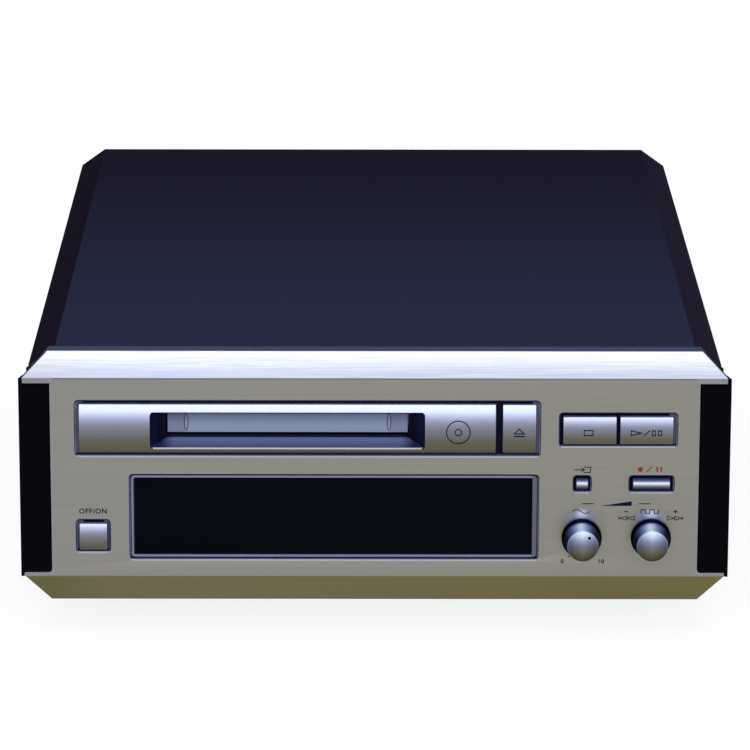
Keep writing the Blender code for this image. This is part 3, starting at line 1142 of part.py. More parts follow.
def screws():
    """Cover screws: two on each side and two at the back."""
    for side, side_name in ((-1, "left"), (1, "right")):
        for depth, end_name in zip(side_screw_places(), ("front", "rear")):
            screw("cover_screw_" + side_name + "_" + end_name, (side * COVER_HALF, at(depth), up(SIDE_SCREW_UP)),
                  (side, 0, 0))
        screw("rear_screw_" + side_name, (side * REAR_SCREW_X, at(BODY_DEPTH), PANEL_TOP - REAR_SCREW_DROP),
              (0, 1, 0))


def tooth_widths():
    """Half widths of a tooth at its root, pitch line and tip."""
    half = TOOTH_PITCH / 4 - GEAR_BACKLASH
    flank = TOOTH_MODULE * math.tan(math.radians(20))
    return half + flank, half, half - flank


def rack_edge(start, teeth):
    """Places (along, out) of a rack's teeth, for as many teeth as given."""
    root, pitch_line, tip = tooth_widths()
    edge = []
    for count in range(teeth):
        middle = start + count * TOOTH_PITCH
        edge += [(middle - root, 0), (middle - tip, 2 * TOOTH_MODULE), (middle + tip, 2 * TOOTH_MODULE),
                 (middle + root, 0)]
    return edge


def gear_outline(phase):
    """Outline of a small gear, with a gap between teeth in the direction of phase."""
    root, pitch_line, tip = tooth_widths()
    root_radius = GEAR_RADIUS - TOOTH_MODULE
    outline = []
    for count in range(GEAR_TEETH):
        middle = phase + math.tau * (count + 1 / 2) / GEAR_TEETH
        for radius, half in ((root_radius, -root), (GEAR_RADIUS, -pitch_line), (GEAR_TIP, -tip),
                             (GEAR_TIP, tip), (GEAR_RADIUS, pitch_line), (root_radius, root)):
            angle = middle + half / max(radius, GEAR_RADIUS)
            outline.append((radius * math.cos(angle), radius * math.sin(angle)))
    return outline


def cartridge_holder():
    """Sheet holder that the disc cartridge slides into, on four studs that ride in the cam slots."""
    inner = BAY_WIDTH / 2
    ledge = inner - HOLDER_LEDGE
    low = BAY_FLOOR - HOLDER_SHEET
    roof = BAY_FLOOR + BAY_HEIGHT
    right = [(ledge, low), (HOLDER_HALF, low), (HOLDER_HALF, HOLDER_TOP)]
    inside = [(inner, roof), (inner, BAY_FLOOR), (ledge, BAY_FLOOR)]
    outline = right + [(-x, z) for x, z in reversed(right)]
    outline += [(-x, z) for x, z in reversed(inside)] + inside
    outline = [(SLOT_X + x, z) for x, z in outline]
    back = BAY_FRONT + BAY_DEPTH
    holder = prism("cartridge_holder", outline, "Y", at(BAY_FRONT), at(back))
    half = HEAD_WINDOW / 2
    window = block("head_window", (SLOT_X - half, SLOT_X + half), (at(HEAD_WINDOW_FRONT), at(back + OVERRUN)),
                   (roof - OVERRUN, HOLDER_TOP + OVERRUN))
    shape(holder, "DIFFERENCE", [window])
    for depth in (STUD_FRONT, STUD_BACK):
        for side in (-1, 1):
            stud = rod("stud", (SLOT_X + side * (HOLDER_HALF - EMBED), at(depth), STUD_HEIGHT), (side, 0, 0),
                       STUD_RADIUS, STUD_REACH + EMBED, TINY_STEPS)
            shape(holder, "UNION", [stud])
    finish(holder, (0.55, 0.56, 0.57), 0.35, 0.9)
    return hang_at(holder, (SLOT_X, at(BAY_FRONT), BAY_FLOOR))


def slot_capsule(start, end, radius):
    """Outline of a slot with round ends, between two points."""
    (y0, z0), (y1, z1) = start, end
    heading = math.atan2(z1 - z0, y1 - y0)
    outline = []
    for (y, z), turn in (((y0, z0), math.tau / 4), ((y1, z1), -math.tau / 4)):
        for step in range(TINY_STEPS // 2 + 1):
            angle = heading + turn + math.tau / TINY_STEPS * step
            outline.append((y + radius * math.cos(angle), z + radius * math.sin(angle)))
    return outline


def cam_slide():
    """Loading slide: two sloping slots lower the holder, and a rack along its lower edge moves it."""
    top = SLIDE_BOTTOM + SLIDE_HEIGHT
    teeth = int((SLIDE_BACK - LOADING_GEAR_Y + SLIDE_TRAVEL) / TOOTH_PITCH)
    ahead = int((SLIDE_BACK - LOADING_GEAR_Y) / TOOTH_PITCH) - 1
    start = LOADING_GEAR_Y - (teeth - ahead) * TOOTH_PITCH
    rack = [(at(along), SLIDE_BOTTOM - out) for along, out in rack_edge(start, teeth)]
    outline = [(at(SLIDE_FRONT), top), (at(SLIDE_FRONT), SLIDE_BOTTOM)] + rack
    outline += [(at(SLIDE_BACK), SLIDE_BOTTOM), (at(SLIDE_BACK), top)]
    left = SLOT_X + HOLDER_HALF + SEAT_GAP
    slide = prism("cam_slide", outline, "X", left, left + SLIDE_THICKNESS)
    for depth in (STUD_FRONT, STUD_BACK):
        slot = prism("cam_slot", slot_capsule((at(depth), STUD_HEIGHT),
                                              (at(depth - SLIDE_TRAVEL), STUD_HEIGHT - HOLDER_DROP),
                                              STUD_RADIUS + RUNNING_GAP), "X",
                     left - OVERRUN, left + SLIDE_THICKNESS + OVERRUN)
        shape(slide, "DIFFERENCE", [slot])
    finish(slide, (0.75, 0.74, 0.7), 0.5, 0.0)
    return hang_at(slide, (left, at(SLIDE_FRONT), SLIDE_BOTTOM))


def loading_gear():
    """Gear on the loading motor's shaft, in mesh with the rack of the cam slide."""
    left = SLOT_X + HOLDER_HALF + SEAT_GAP
    axle = (left, at(LOADING_GEAR_Y), SLIDE_BOTTOM - GEAR_MESH)
    outline = [(axle[1] + y, axle[2] + z) for y, z in gear_outline(math.tau / 4)]
    gear = prism("loading_gear", outline, "X", left, left + SLIDE_THICKNESS)
    shaft = rod("loading_shaft", (left + EMBED, axle[1], axle[2]), (1, 0, 0), GEAR_SHAFT,
                SLIDE_THICKNESS + LOADING_SHAFT, TINY_STEPS)
    shape(gear, "UNION", [shaft])
    finish(gear, (0.8, 0.78, 0.72), 0.45, 0.0)
    hang_at(gear, axle)
    start = FRAME_HALF + FRAME_SHEET + SEAT_GAP
    bore = GEAR_SHAFT + RUNNING_GAP
    depth = HOLDER_HALF + SEAT_GAP + EMBED + SLIDE_THICKNESS + LOADING_SHAFT + SEAT_GAP - start
    profile = [(bore, 0), (LOADING_MOTOR_RADIUS, 0), (LOADING_MOTOR_RADIUS, LOADING_MOTOR_LENGTH - MOTOR_EDGE),
               (LOADING_MOTOR_RADIUS - MOTOR_EDGE, LOADING_MOTOR_LENGTH), (0, LOADING_MOTOR_LENGTH), (0, depth),
               (bore, depth)]
    motor = turned("loading_motor", profile, (SLOT_X + start, axle[1], axle[2]), (1, 0, 0), SMALL_STEPS)
    finish(motor, (0.5, 0.5, 0.5), 0.3, 1.0)


def mech_frame():
    """Folded steel frame of the mechanism, slotted for the holder's studs, with posts for the rods."""
    outer = FRAME_HALF + FRAME_SHEET
    outline = [(-outer, FRAME_FLOOR), (outer, FRAME_FLOOR), (outer, FRAME_TOP), (FRAME_HALF, FRAME_TOP),
               (FRAME_HALF, MECH_FLOOR), (-FRAME_HALF, MECH_FLOOR), (-FRAME_HALF, FRAME_TOP), (-outer, FRAME_TOP)]
    outline = [(SLOT_X + x, z) for x, z in outline]
    frame = prism("mech_frame", outline, "Y", at(FRAME_FRONT), at(FRAME_BACK))
    radius = STUD_RADIUS + RUNNING_GAP
    for depth in (STUD_FRONT, STUD_BACK):
        slot = block("stud_slot", (SLOT_X - outer - OVERRUN, SLOT_X + outer + OVERRUN),
                     (at(depth) - radius, at(depth) + radius),
                     (STUD_HEIGHT - HOLDER_DROP - radius, STUD_HEIGHT + radius))
        shape(frame, "DIFFERENCE", [slot])
    half = ROD_POST_WIDTH / 2
    for side in (-1, 1):
        x = SLOT_X + side * ROD_OFFSET
        for depth in (ROD_FRONT, ROD_BACK - ROD_POST_DEPTH):
            post = block("rod_post", (x - half, x + half), (at(depth), at(depth + ROD_POST_DEPTH)),
                         (MECH_FLOOR - EMBED, ROD_POST_TOP))
            shape(frame, "UNION", [post])
        bore = rod("rod_bore", (x, at(ROD_FRONT - OVERRUN), ROD_HEIGHT), (0, 1, 0), ROD_RADIUS + SEAT_GAP,
                   ROD_BACK - ROD_FRONT + 2 * OVERRUN, TINY_STEPS)
        shape(frame, "DIFFERENCE", [bore])
    gear_z = SLIDE_BOTTOM - GEAR_MESH
    shaft_hole = rod("shaft_hole", (SLOT_X + FRAME_HALF - OVERRUN, at(LOADING_GEAR_Y), gear_z), (1, 0, 0),
                     GEAR_SHAFT + RUNNING_GAP, FRAME_SHEET + 2 * OVERRUN, TINY_STEPS)
    reach = GEAR_TIP + RUNNING_GAP
    well = block("gear_well", (SLOT_X + HOLDER_HALF, SLOT_X + FRAME_HALF - SEAT_GAP / 2),
                 (at(LOADING_GEAR_Y) - reach, at(LOADING_GEAR_Y) + reach), (FRAME_FLOOR - OVERRUN, MECH_FLOOR + OVERRUN))
    pinion_hole = rod("pinion_hole", (pinion_x(), at(PINION_Y), FRAME_FLOOR - OVERRUN), (0, 0, 1),
                      GEAR_SHAFT + RUNNING_GAP, FRAME_SHEET + 2 * OVERRUN, TINY_STEPS)
    shape(frame, "DIFFERENCE", [shaft_hole, well, pinion_hole])
    return finish(frame, (0.5, 0.51, 0.52), 0.4, 0.9)


def mech_bracket():
    """Steel bridge that lifts the mechanism off the chassis floor to the height of the mouth."""
    high = FRAME_FLOOR - SEAT_GAP
    low = CHASSIS_FLOOR + SEAT_GAP
    sheet = FRAME_SHEET
    foot = BRACKET_HALF + BRACKET_FOOT
    right = [(BRACKET_HALF - sheet, low), (foot, low), (foot, low + sheet), (BRACKET_HALF, low + sheet),
             (BRACKET_HALF, high)]
    inside = (BRACKET_HALF - sheet, high - sheet)
    outline = right + [(-x, z) for x, z in reversed(right)] + [(-inside[0], inside[1]), inside]
    outline = [(SLOT_X + x, z) for x, z in outline]
    bridge = prism("mech_bracket", outline, "Y", at(BRACKET_FRONT), at(BRACKET_BACK))
    half = BRACKET_HALF - BRACKET_RIM
    hole = block("bracket_hole", (SLOT_X - half, SLOT_X + half), (at(BRACKET_HOLE_FRONT), at(BRACKET_HOLE_BACK)),
                 (high - OVERRUN, high + OVERRUN))
    shape(bridge, "DIFFERENCE", [hole])
    return finish(bridge, (0.48, 0.49, 0.5), 0.4, 0.9)


def pinion_x():
    """X of the pinion that drives the pickup sled's rack."""
    return SLOT_X - SLED_HALF - GEAR_MESH


def pickup_sled():
    """Optical pickup on its sled: two rod bores, the lens, a rack on one side and the arm's post."""
    back = SLED_FRONT + SLED_LENGTH
    teeth = int(SLED_LENGTH / TOOTH_PITCH)
    behind = int((back - PINION_Y) / TOOTH_PITCH) - 1
    start = PINION_Y - (teeth - 1 - behind) * TOOTH_PITCH
    rack = [(SLOT_X - SLED_HALF - out, at(along)) for along, out in rack_edge(start, teeth)]
    outline = [(SLOT_X + SLED_HALF, at(back)), (SLOT_X + SLED_HALF, at(SLED_FRONT)),
               (SLOT_X - SLED_HALF, at(SLED_FRONT))] + rack + [(SLOT_X - SLED_HALF, at(back))]
    sled = prism("pickup_sled", outline, "Z", SLED_BOTTOM, SLED_BOTTOM + SLED_HEIGHT)
    top = SLED_BOTTOM + SLED_HEIGHT
    lens = rod("lens_barrel", (SLOT_X, at(LENS_Y), top - EMBED), (0, 0, 1), LENS_RADIUS, LENS_HEIGHT + EMBED)
    half = ARM_POST_WIDTH / 2
    post = block("arm_post", (SLOT_X - half, SLOT_X + half), (at(back - ARM_POST_DEPTH), at(back - SEAT_GAP)),
                 (top - EMBED, ARM_POST_TOP))
    shape(sled, "UNION", [lens, post])
    for side in (-1, 1):
        bore = rod("sled_bore", (SLOT_X + side * ROD_OFFSET, at(SLED_FRONT - OVERRUN), ROD_HEIGHT), (0, 1, 0),
                   ROD_RADIUS + RUNNING_GAP, SLED_LENGTH + 2 * OVERRUN, TINY_STEPS)
        shape(sled, "DIFFERENCE", [bore])
    pivot = rod("arm_bore", (SLOT_X - half - OVERRUN, at(back - ARM_POST_DEPTH / 2), ARM_PIVOT), (1, 0, 0),
                ARM_PIN_RADIUS + RUNNING_GAP, ARM_POST_WIDTH + 2 * OVERRUN, TINY_STEPS)
    shape(sled, "DIFFERENCE", [pivot])
    finish(sled, (0.06, 0.06, 0.065), 0.4, 0.2)
    hang_at(sled, (SLOT_X, at(SLED_FRONT), ROD_HEIGHT))


def guide_rods():
    """Two steel rods that the sled runs on."""
    for name, side in (("guide_rod_left", -1), ("guide_rod_right", 1)):
        bar = rod(name, (SLOT_X + side * ROD_OFFSET, at(ROD_FRONT + SEAT_GAP), ROD_HEIGHT), (0, 1, 0),
                  ROD_RADIUS, ROD_BACK - ROD_FRONT - 2 * SEAT_GAP, TINY_STEPS)
        finish(bar, (0.7, 0.7, 0.72), 0.15, 1.0)


def sled_drive():
    """Upright motor under the frame and the pinion on its shaft, in mesh with the sled's rack."""
    x = pinion_x()
    bottom = FRAME_FLOOR - SEAT_GAP - SLED_MOTOR_HEIGHT
    shaft_foot = FRAME_FLOOR - SEAT_GAP - SLED_MOTOR_SHAFT
    outline = [(x + u, at(PINION_Y) + v) for u, v in gear_outline(0)]
    pinion = prism("sled_pinion", outline, "Z", SLED_BOTTOM, SLED_BOTTOM + PINION_HEIGHT)
    shaft = rod("pinion_shaft", (x, at(PINION_Y), shaft_foot), (0, 0, 1), GEAR_SHAFT,
                SLED_BOTTOM + EMBED - shaft_foot, TINY_STEPS)
    shape(pinion, "UNION", [shaft])
    finish(pinion, (0.8, 0.78, 0.72), 0.45, 0.0)
    hang_at(pinion, (x, at(PINION_Y), SLED_BOTTOM))
    bore = GEAR_SHAFT + RUNNING_GAP
    floor = SLED_MOTOR_HEIGHT - SLED_MOTOR_SHAFT - SEAT_GAP
    profile = [(0, 0), (SLED_MOTOR_RADIUS - MOTOR_EDGE, 0), (SLED_MOTOR_RADIUS, MOTOR_EDGE),
               (SLED_MOTOR_RADIUS, SLED_MOTOR_HEIGHT), (bore, SLED_MOTOR_HEIGHT), (bore, floor), (0, floor)]
    motor = turned("sled_motor", profile, (x, at(PINION_Y), bottom), (0, 0, 1), SMALL_STEPS)
    finish(motor, (0.5, 0.5, 0.5), 0.3, 1.0)


def head_arm():
    """Arm that carries the magnetic head over the disc, hinged on the sled's post."""
    back = SLED_FRONT + SLED_LENGTH
    pivot_y = back - ARM_POST_DEPTH / 2
    low = ARM_POST_TOP + ARM_LIFT
    inner = ARM_POST_WIDTH / 2 + SEAT_GAP
    outer = inner + ARM_EAR
    outline = [(-outer, pivot_y + ARM_POST_DEPTH / 2), (-outer, pivot_y - ARM_POST_DEPTH),
               (-ARM_WIDTH / 2, pivot_y - 2 * ARM_POST_DEPTH), (-ARM_WIDTH / 2, LENS_Y - HEAD_SIZE / 2)]
    outline += [(-x, y) for x, y in reversed(outline)]
    arm = prism("head_arm", [(SLOT_X + x, at(y)) for x, y in outline], "Z", low, low + ARM_THICKNESS)
    half = HEAD_SIZE / 2
    head = block("magnetic_head", (SLOT_X - half, SLOT_X + half), (at(LENS_Y - half), at(LENS_Y + half)),
                 (low - HEAD_HEIGHT, low + EMBED))
    pin = rod("arm_pin", (SLOT_X - outer + EMBED, at(pivot_y), ARM_PIVOT), (1, 0, 0), ARM_PIN_RADIUS,
              2 * (outer - EMBED), TINY_STEPS)
    shape(arm, "UNION", [head])
    for side in (-1, 1):
        ends = sorted((SLOT_X + side * inner, SLOT_X + side * outer))
        ear = block("arm_ear", ends, (at(pivot_y - ARM_POST_DEPTH / 2), at(pivot_y + ARM_POST_DEPTH / 2)),
                    (ARM_PIVOT - 2 * ARM_PIN_RADIUS, low + EMBED))
        shape(arm, "UNION", [ear])
    shape(arm, "UNION", [pin])
    finish(arm, (0.6, 0.6, 0.6), 0.35, 0.9)
    hang_at(arm, (SLOT_X, at(pivot_y), ARM_PIVOT))


def spindle():
    """Flat spindle motor and the turntable that centres the disc on its shaft."""
    bore = GEAR_SHAFT + RUNNING_GAP
    floor = MOTOR_HEIGHT - TURNTABLE_SHAFT_DEPTH - SEAT_GAP
    foot = (SLOT_X, at(DISC_CENTRE), MECH_FLOOR + SEAT_GAP)
    profile = [(0, 0), (MOTOR_RADIUS, 0), (MOTOR_RADIUS, MOTOR_HEIGHT - MOTOR_EDGE),
               (MOTOR_RADIUS - MOTOR_EDGE, MOTOR_HEIGHT), (bore, MOTOR_HEIGHT), (bore, floor), (0, floor)]
    motor = turned("spindle_motor", profile, foot, (0, 0, 1), ROUND_STEPS)
    finish(motor, (0.45, 0.45, 0.47), 0.3, 1.0)
    top = MOTOR_HEIGHT + TURNTABLE_LIFT
    low = MOTOR_HEIGHT - TURNTABLE_SHAFT_DEPTH
    plate = top + TURNTABLE_PLATE
    hub = plate + TURNTABLE_HUB_HEIGHT
    profile = [(0, low), (GEAR_SHAFT, low), (GEAR_SHAFT, top), (TURNTABLE_RADIUS, top), (TURNTABLE_RADIUS, plate),
               (TURNTABLE_HUB_RADIUS, plate), (TURNTABLE_HUB_RADIUS - MOTOR_EDGE, hub), (0, hub)]
    table = turned("turntable", profile, foot, (0, 0, 1), ROUND_STEPS)
    finish(table, (0.07, 0.07, 0.075), 0.4, 0.0)
    hang_at(table, (foot[0], foot[1], foot[2] + top))


def populated_board(name, left, right, front, back, chips, connectors):
    """Circuit board with its larger chips and connectors."""
    board = block(name, (left, right), (at(front), at(back)), (BOARD_UP, BOARD_UP + BOARD_THICKNESS))
    wide = right - left
    deep = back - front
    for shares, tall in ((chips, CHIP_HEIGHT), (connectors, CONNECTOR_HEIGHT)):
        for x_share, y_share, wide_share, deep_share in shares:
            x = left + wide * x_share
            y = front + deep * y_share
            part = block("component", (x - wide * wide_share / 2, x + wide * wide_share / 2),
                         (at(y - deep * deep_share / 2), at(y + deep * deep_share / 2)),
                         (BOARD_UP + BOARD_THICKNESS - EMBED, BOARD_UP + BOARD_THICKNESS + tall))
            shape(board, "UNION", [part])
    return finish(board, (0.04, 0.2, 0.09), 0.5, 0.0)


def capacitors():
    """Two smoothing capacitors with their rolled groove and bevelled top."""
    radius = CAPACITOR_RADIUS
    waist = radius - CAPACITOR_GROOVE
    profile = [(0, 0), (radius, 0), (radius, CAPACITOR_BEAD), (waist, CAPACITOR_BEAD + CAPACITOR_GROOVE),
               (radius, CAPACITOR_BEAD + 2 * CAPACITOR_GROOVE), (radius, CAPACITOR_HEIGHT - CAPACITOR_GROOVE),
               (waist, CAPACITOR_HEIGHT), (0, CAPACITOR_HEIGHT)]
    for name, count in (("smoothing_capacitor_left", 0), ("smoothing_capacitor_right", 1)):
        foot = (CAPACITOR_X + count * CAPACITOR_PITCH, at(CAPACITOR_Y), BOARD_UP + BOARD_THICKNESS + SEAT_GAP)
        finish(turned(name, profile, foot, (0, 0, 1), SMALL_STEPS), (0.02, 0.03, 0.08), 0.35, 0.1)


def heat_sink():
    """Finned aluminium extrusion standing on the supply board."""
    half = HEAT_SINK_WIDTH / 2
    pitch = (HEAT_SINK_WIDTH - HEAT_SINK_FIN) / (HEAT_SINK_FINS - 1)
    front = HEAT_SINK_Y
    root = front + HEAT_SINK_BASE
    outline = [(-half, front), (half, front)]
    for count in reversed(range(HEAT_SINK_FINS)):
        left = -half + count * pitch
        right = left + HEAT_SINK_FIN
        outline += [(right, root + HEAT_SINK_REACH), (left, root + HEAT_SINK_REACH)]
        if count:
            outline += [(left, root), (left - pitch + HEAT_SINK_FIN, root)]
    outline = [(HEAT_SINK_X + x, at(y)) for x, y in outline]
    low = BOARD_UP + BOARD_THICKNESS + SEAT_GAP
    sink = prism("heat_sink", outline, "Z", low, low + HEAT_SINK_HEIGHT)
    return finish(sink, (0.6, 0.61, 0.62), 0.4, 1.0)


def power_transformer():
    """Laminated core, the coil through it and the strap that screws it down."""
    low = CHASSIS_FLOOR + SEAT_GAP
    x = TRANSFORMER_X
    core = block("power_transformer", (x - CORE_WIDTH / 2, x + CORE_WIDTH / 2),
                 (at(TRANSFORMER_Y - CORE_DEPTH / 2), at(TRANSFORMER_Y + CORE_DEPTH / 2)), (low, low + CORE_HEIGHT))
    middle = low + CORE_HEIGHT / 2
    coil = prism("coil", rounded(x, middle, COIL_WIDTH, COIL_HEIGHT, STRAP_SHEET + STRAP_SHEET), "Y",
                 at(TRANSFORMER_Y - COIL_DEPTH / 2), at(TRANSFORMER_Y + COIL_DEPTH / 2))
    strap = block("strap", (x - STRAP_WIDTH / 2, x + STRAP_WIDTH / 2),
                  (at(TRANSFORMER_Y - STRAP_DEPTH / 2), at(TRANSFORMER_Y + STRAP_DEPTH / 2)),
                  (low, low + STRAP_SHEET))
    hoop = block("strap_hoop", (x - CORE_WIDTH / 2 - STRAP_SHEET, x + CORE_WIDTH / 2 + STRAP_SHEET),
                 (at(TRANSFORMER_Y - STRAP_DEPTH / 2), at(TRANSFORMER_Y + STRAP_DEPTH / 2)),
                 (low, low + CORE_HEIGHT + STRAP_SHEET))
    shape(core, "UNION", [coil, hoop, strap])
    return finish(core, (0.2, 0.17, 0.13), 0.5, 0.5)


for leftover in list(bpy.data.objects):
    bpy.data.objects.remove(leftover, do_unlink=True)

front_panel()
cheek("left_cheek", -1)
cheek("right_cheek", 1)
keys()
loader_bezel()
disc_door()
display()
front_subpanel()
front_board()
knob_with_shaft("analog_knob", "analog_shaft", "analog_pot", LEFT_COLUMN_X, POT_SIZE, True)
knob_with_shaft("digital_knob", "encoder_shaft", "digital_encoder", RIGHT_COLUMN_X, ENCODER_SIZE, False)
top_cover()
chassis()
rear_panel()
rca_jacks()
optical_jacks()
ac_inlet()
feet()
screws()
cartridge_holder()
cam_slide()
loading_gear()
mech_frame()
mech_bracket()
spindle()
guide_rods()
pickup_sled()
sled_drive()
head_arm()
populated_board("main_board", MAIN_LEFT, MAIN_RIGHT, MAIN_FRONT, MAIN_BACK, CHIP_SHARES, CONNECTOR_SHARES)
populated_board("power_board", SUPPLY_LEFT, SUPPLY_RIGHT, SUPPLY_FRONT, SUPPLY_BACK, (), ())
capacitors()
heat_sink()
power_transformer()
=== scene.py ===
"""Looks of a narrow minidisc deck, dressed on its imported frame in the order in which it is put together."""

import math

import bmesh
import bpy
from mathutils import Matrix, Vector


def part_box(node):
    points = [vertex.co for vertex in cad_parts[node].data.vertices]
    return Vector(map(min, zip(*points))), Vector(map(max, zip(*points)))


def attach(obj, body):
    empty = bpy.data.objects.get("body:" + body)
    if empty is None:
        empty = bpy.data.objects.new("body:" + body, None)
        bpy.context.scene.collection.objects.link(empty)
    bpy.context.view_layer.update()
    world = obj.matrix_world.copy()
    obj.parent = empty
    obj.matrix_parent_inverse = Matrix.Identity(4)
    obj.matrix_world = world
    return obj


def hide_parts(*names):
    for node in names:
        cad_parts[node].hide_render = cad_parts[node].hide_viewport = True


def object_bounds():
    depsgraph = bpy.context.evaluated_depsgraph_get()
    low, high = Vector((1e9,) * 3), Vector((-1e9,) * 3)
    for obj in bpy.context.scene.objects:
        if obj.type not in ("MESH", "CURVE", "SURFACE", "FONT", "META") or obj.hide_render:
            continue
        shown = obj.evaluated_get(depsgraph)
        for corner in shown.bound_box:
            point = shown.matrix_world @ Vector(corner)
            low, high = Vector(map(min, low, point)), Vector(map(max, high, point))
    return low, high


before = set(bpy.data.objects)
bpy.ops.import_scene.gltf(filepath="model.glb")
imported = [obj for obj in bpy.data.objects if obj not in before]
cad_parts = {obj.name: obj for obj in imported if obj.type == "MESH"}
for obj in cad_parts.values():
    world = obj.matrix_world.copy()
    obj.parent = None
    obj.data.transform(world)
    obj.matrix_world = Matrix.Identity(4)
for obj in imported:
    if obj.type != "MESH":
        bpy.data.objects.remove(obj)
cad_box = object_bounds()

# Chassis tray
# Zinc-plated steel sheet, pressed and folded, with standoffs for the boards and vents in its floor.
# Everything else stands on it or is screwed to it.
MM = 0.001
ZINC_LIGHT = (178, 181, 184)
ZINC_DARK = (139, 144, 150)


def shade(red, green, blue):
    """Colour given as a screen shows it, from 0 to 255, made linear."""
    levels = [level / 255 for level in (red, green, blue)]
    linear = [((v + 0.055) / 1.055) ** 2.4 if v > 0.04045 else v / 12.92 for v in levels]
    return (*linear, 1.0)


def add(tree, kind, inputs=None, **settings):
    """Put a node in a tree, set it up and give its inputs their values or links."""
    node = tree.nodes.new(kind)
    for name, value in settings.items():
        setattr(node, name, value)
    for name, value in (inputs or {}).items():
        if isinstance(value, bpy.types.NodeSocket):
            tree.links.new(value, node.inputs[name])
        else:
            node.inputs[name].default_value = value
    return node


def figured(tree, operation, first, second=0.0, third=0.0):
    """One sum of a node tree."""
    return add(tree, "ShaderNodeMath", {0: first, 1: second, 2: third}, operation=operation).outputs[0]


def product(tree, first, second):
    """Product of two values, or how far two shares hold at once."""
    return figured(tree, "MULTIPLY", first, second)


def new_group(name, kind, inputs, outputs):
    """Node group with named sockets: the tree, what it is given and what it gives."""
    group = bpy.data.node_groups.new(name, kind)
    for label, socket in inputs:
        group.interface.new_socket(label, in_out="INPUT", socket_type="NodeSocket" + socket)
    for label, socket in outputs:
        group.interface.new_socket(label, in_out="OUTPUT", socket_type="NodeSocket" + socket)
    given = group.nodes.new("NodeGroupInput").outputs
    result = group.nodes.new("NodeGroupOutput").inputs
    return group, given, result


def surface_grain():
    """Fine relief that can be drawn out along an axis, and a slow change of tone with it."""
    group, given, result = new_group("surface_grain", "ShaderNodeTree",
                                     (("Vector", "Vector"), ("Cell", "Float"), ("Stretch", "Vector")),
                                     (("Height", "Float"), ("Tone", "Float")))
    drawn = add(group, "ShaderNodeVectorMath", {0: given["Vector"], 1: given["Stretch"]}, operation="DIVIDE")
    scaled = add(group, "ShaderNodeVectorMath", {0: drawn.outputs[0],
                                                 "Scale": figured(group, "DIVIDE", 1.0, given["Cell"])},
                 operation="SCALE")
    fine = add(group, "ShaderNodeTexNoise", {"Vector": scaled.outputs[0], "Scale": 1.0, "Detail": 3.0,
                                             "Roughness": 0.6})
    slow = add(group, "ShaderNodeTexNoise", {"Vector": scaled.outputs[0], "Scale": 0.04, "Detail": 2.0})
    group.links.new(fine.outputs[0], result["Height"])
    group.links.new(slow.outputs[0], result["Tone"])
    return group


GRAIN = surface_grain()


def grain_of(tree, place, cell, stretch=(1.0, 1.0, 1.0)):
    """Grain of a given cell size on a material's own coordinates."""
    return add(tree, "ShaderNodeGroup", {"Vector": place["Object"], "Cell": cell, "Stretch": stretch},
               node_tree=GRAIN).outputs


def new_finish(name, roughness, metallic=0.0, specular=0.5, coat=0.0):
    """Material with its shader set, and the tree and coordinates for its colour and relief."""
    finish = bpy.data.materials.new(name)
    finish.use_nodes = True
    tree = finish.node_tree
    shader = tree.nodes["Principled BSDF"].inputs
    shader["Roughness"].default_value = roughness
    shader["Metallic"].default_value = metallic
    shader["Specular IOR Level"].default_value = specular
    shader["Coat Weight"].default_value = coat
    return finish, tree, shader, add(tree, "ShaderNodeTexCoord").outputs


def mixed(tree, factor, first, second, blend="MIX"):
    """Colour between two others."""
    return add(tree, "ShaderNodeMix", {0: factor, 6: first, 7: second}, data_type="RGBA",
               blend_type=blend).outputs[2]


def darkened(tree, share, tones, darkening):
    """Colour darkened by a tint as far as a share says: painted shade in some places, grain and tone in others."""
    return mixed(tree, share, tones, shade(*darkening), "MULTIPLY")


def between(tree, value, low, high):
    """A value from 0 to 1 spread between two limits."""
    return add(tree, "ShaderNodeMapRange", {"Value": value, "To Min": low, "To Max": high}).outputs[0]


def relief(tree, shader, height, depth):
    """Bump of a given depth in metres."""
    bump = add(tree, "ShaderNodeBump", {"Height": height, "Distance": depth, "Strength": 1.0})
    tree.links.new(bump.outputs[0], shader["Normal"])


def sheet_metal(name, light, dark, roughness, cell):
    """Plated sheet with a mottled tone and rubbed patches."""
    finish, tree, shader, place = new_finish(name, roughness, metallic=0.9)
    grain = grain_of(tree, place, cell)
    tree.links.new(mixed(tree, grain["Tone"], shade(*dark), shade(*light)), shader["Base Color"])
    tree.links.new(between(tree, grain["Tone"], roughness + 0.12, roughness - 0.08), shader["Roughness"])
    relief(tree, shader, grain["Height"], 0.01 * MM)
    return finish


def dress(finish, *names):
    """Give CAD pieces their finish."""
    for name in names:
        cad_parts[name].material_slots[0].material = finish


ZINC = sheet_metal("zinc_plate", ZINC_LIGHT, ZINC_DARK, 0.38, 0.6 * MM)
dress(ZINC, "chassis")

# Rubber feet
# Black rubber pucks with a set-back pad to stand on and a sunk screw in the middle.
# Each is moulded in one piece and screwed up into the tray.
FOOT_HEIGHT = 9.0 * MM
FOOT_RADIUS = 13.0 * MM
FOOT_TOP_RADIUS = 11.8 * MM
PAD_RADIUS = 10.0 * MM
PAD_HEIGHT = 1.2 * MM
FOOT_ROUND = 0.5 * MM
SCREW_WELL_RADIUS = 4.4 * MM
SCREW_WELL_DEPTH = 4.0 * MM
RUBBER = (32, 32, 34)


def arc(centre, radius, start, end, steps=4):
    """Points on an arc, with its angles in degrees."""
    points = []
    for step in range(steps + 1):
        angle = math.radians(start + (end - start) * step / steps)
        points.append((centre[0] + radius * math.cos(angle), centre[1] + radius * math.sin(angle)))
    return points


def new_object(name, data):
    """Object that holds some data, put in the scene."""
    thing = bpy.data.objects.new(name, data)
    bpy.context.scene.collection.objects.link(thing)
    return thing


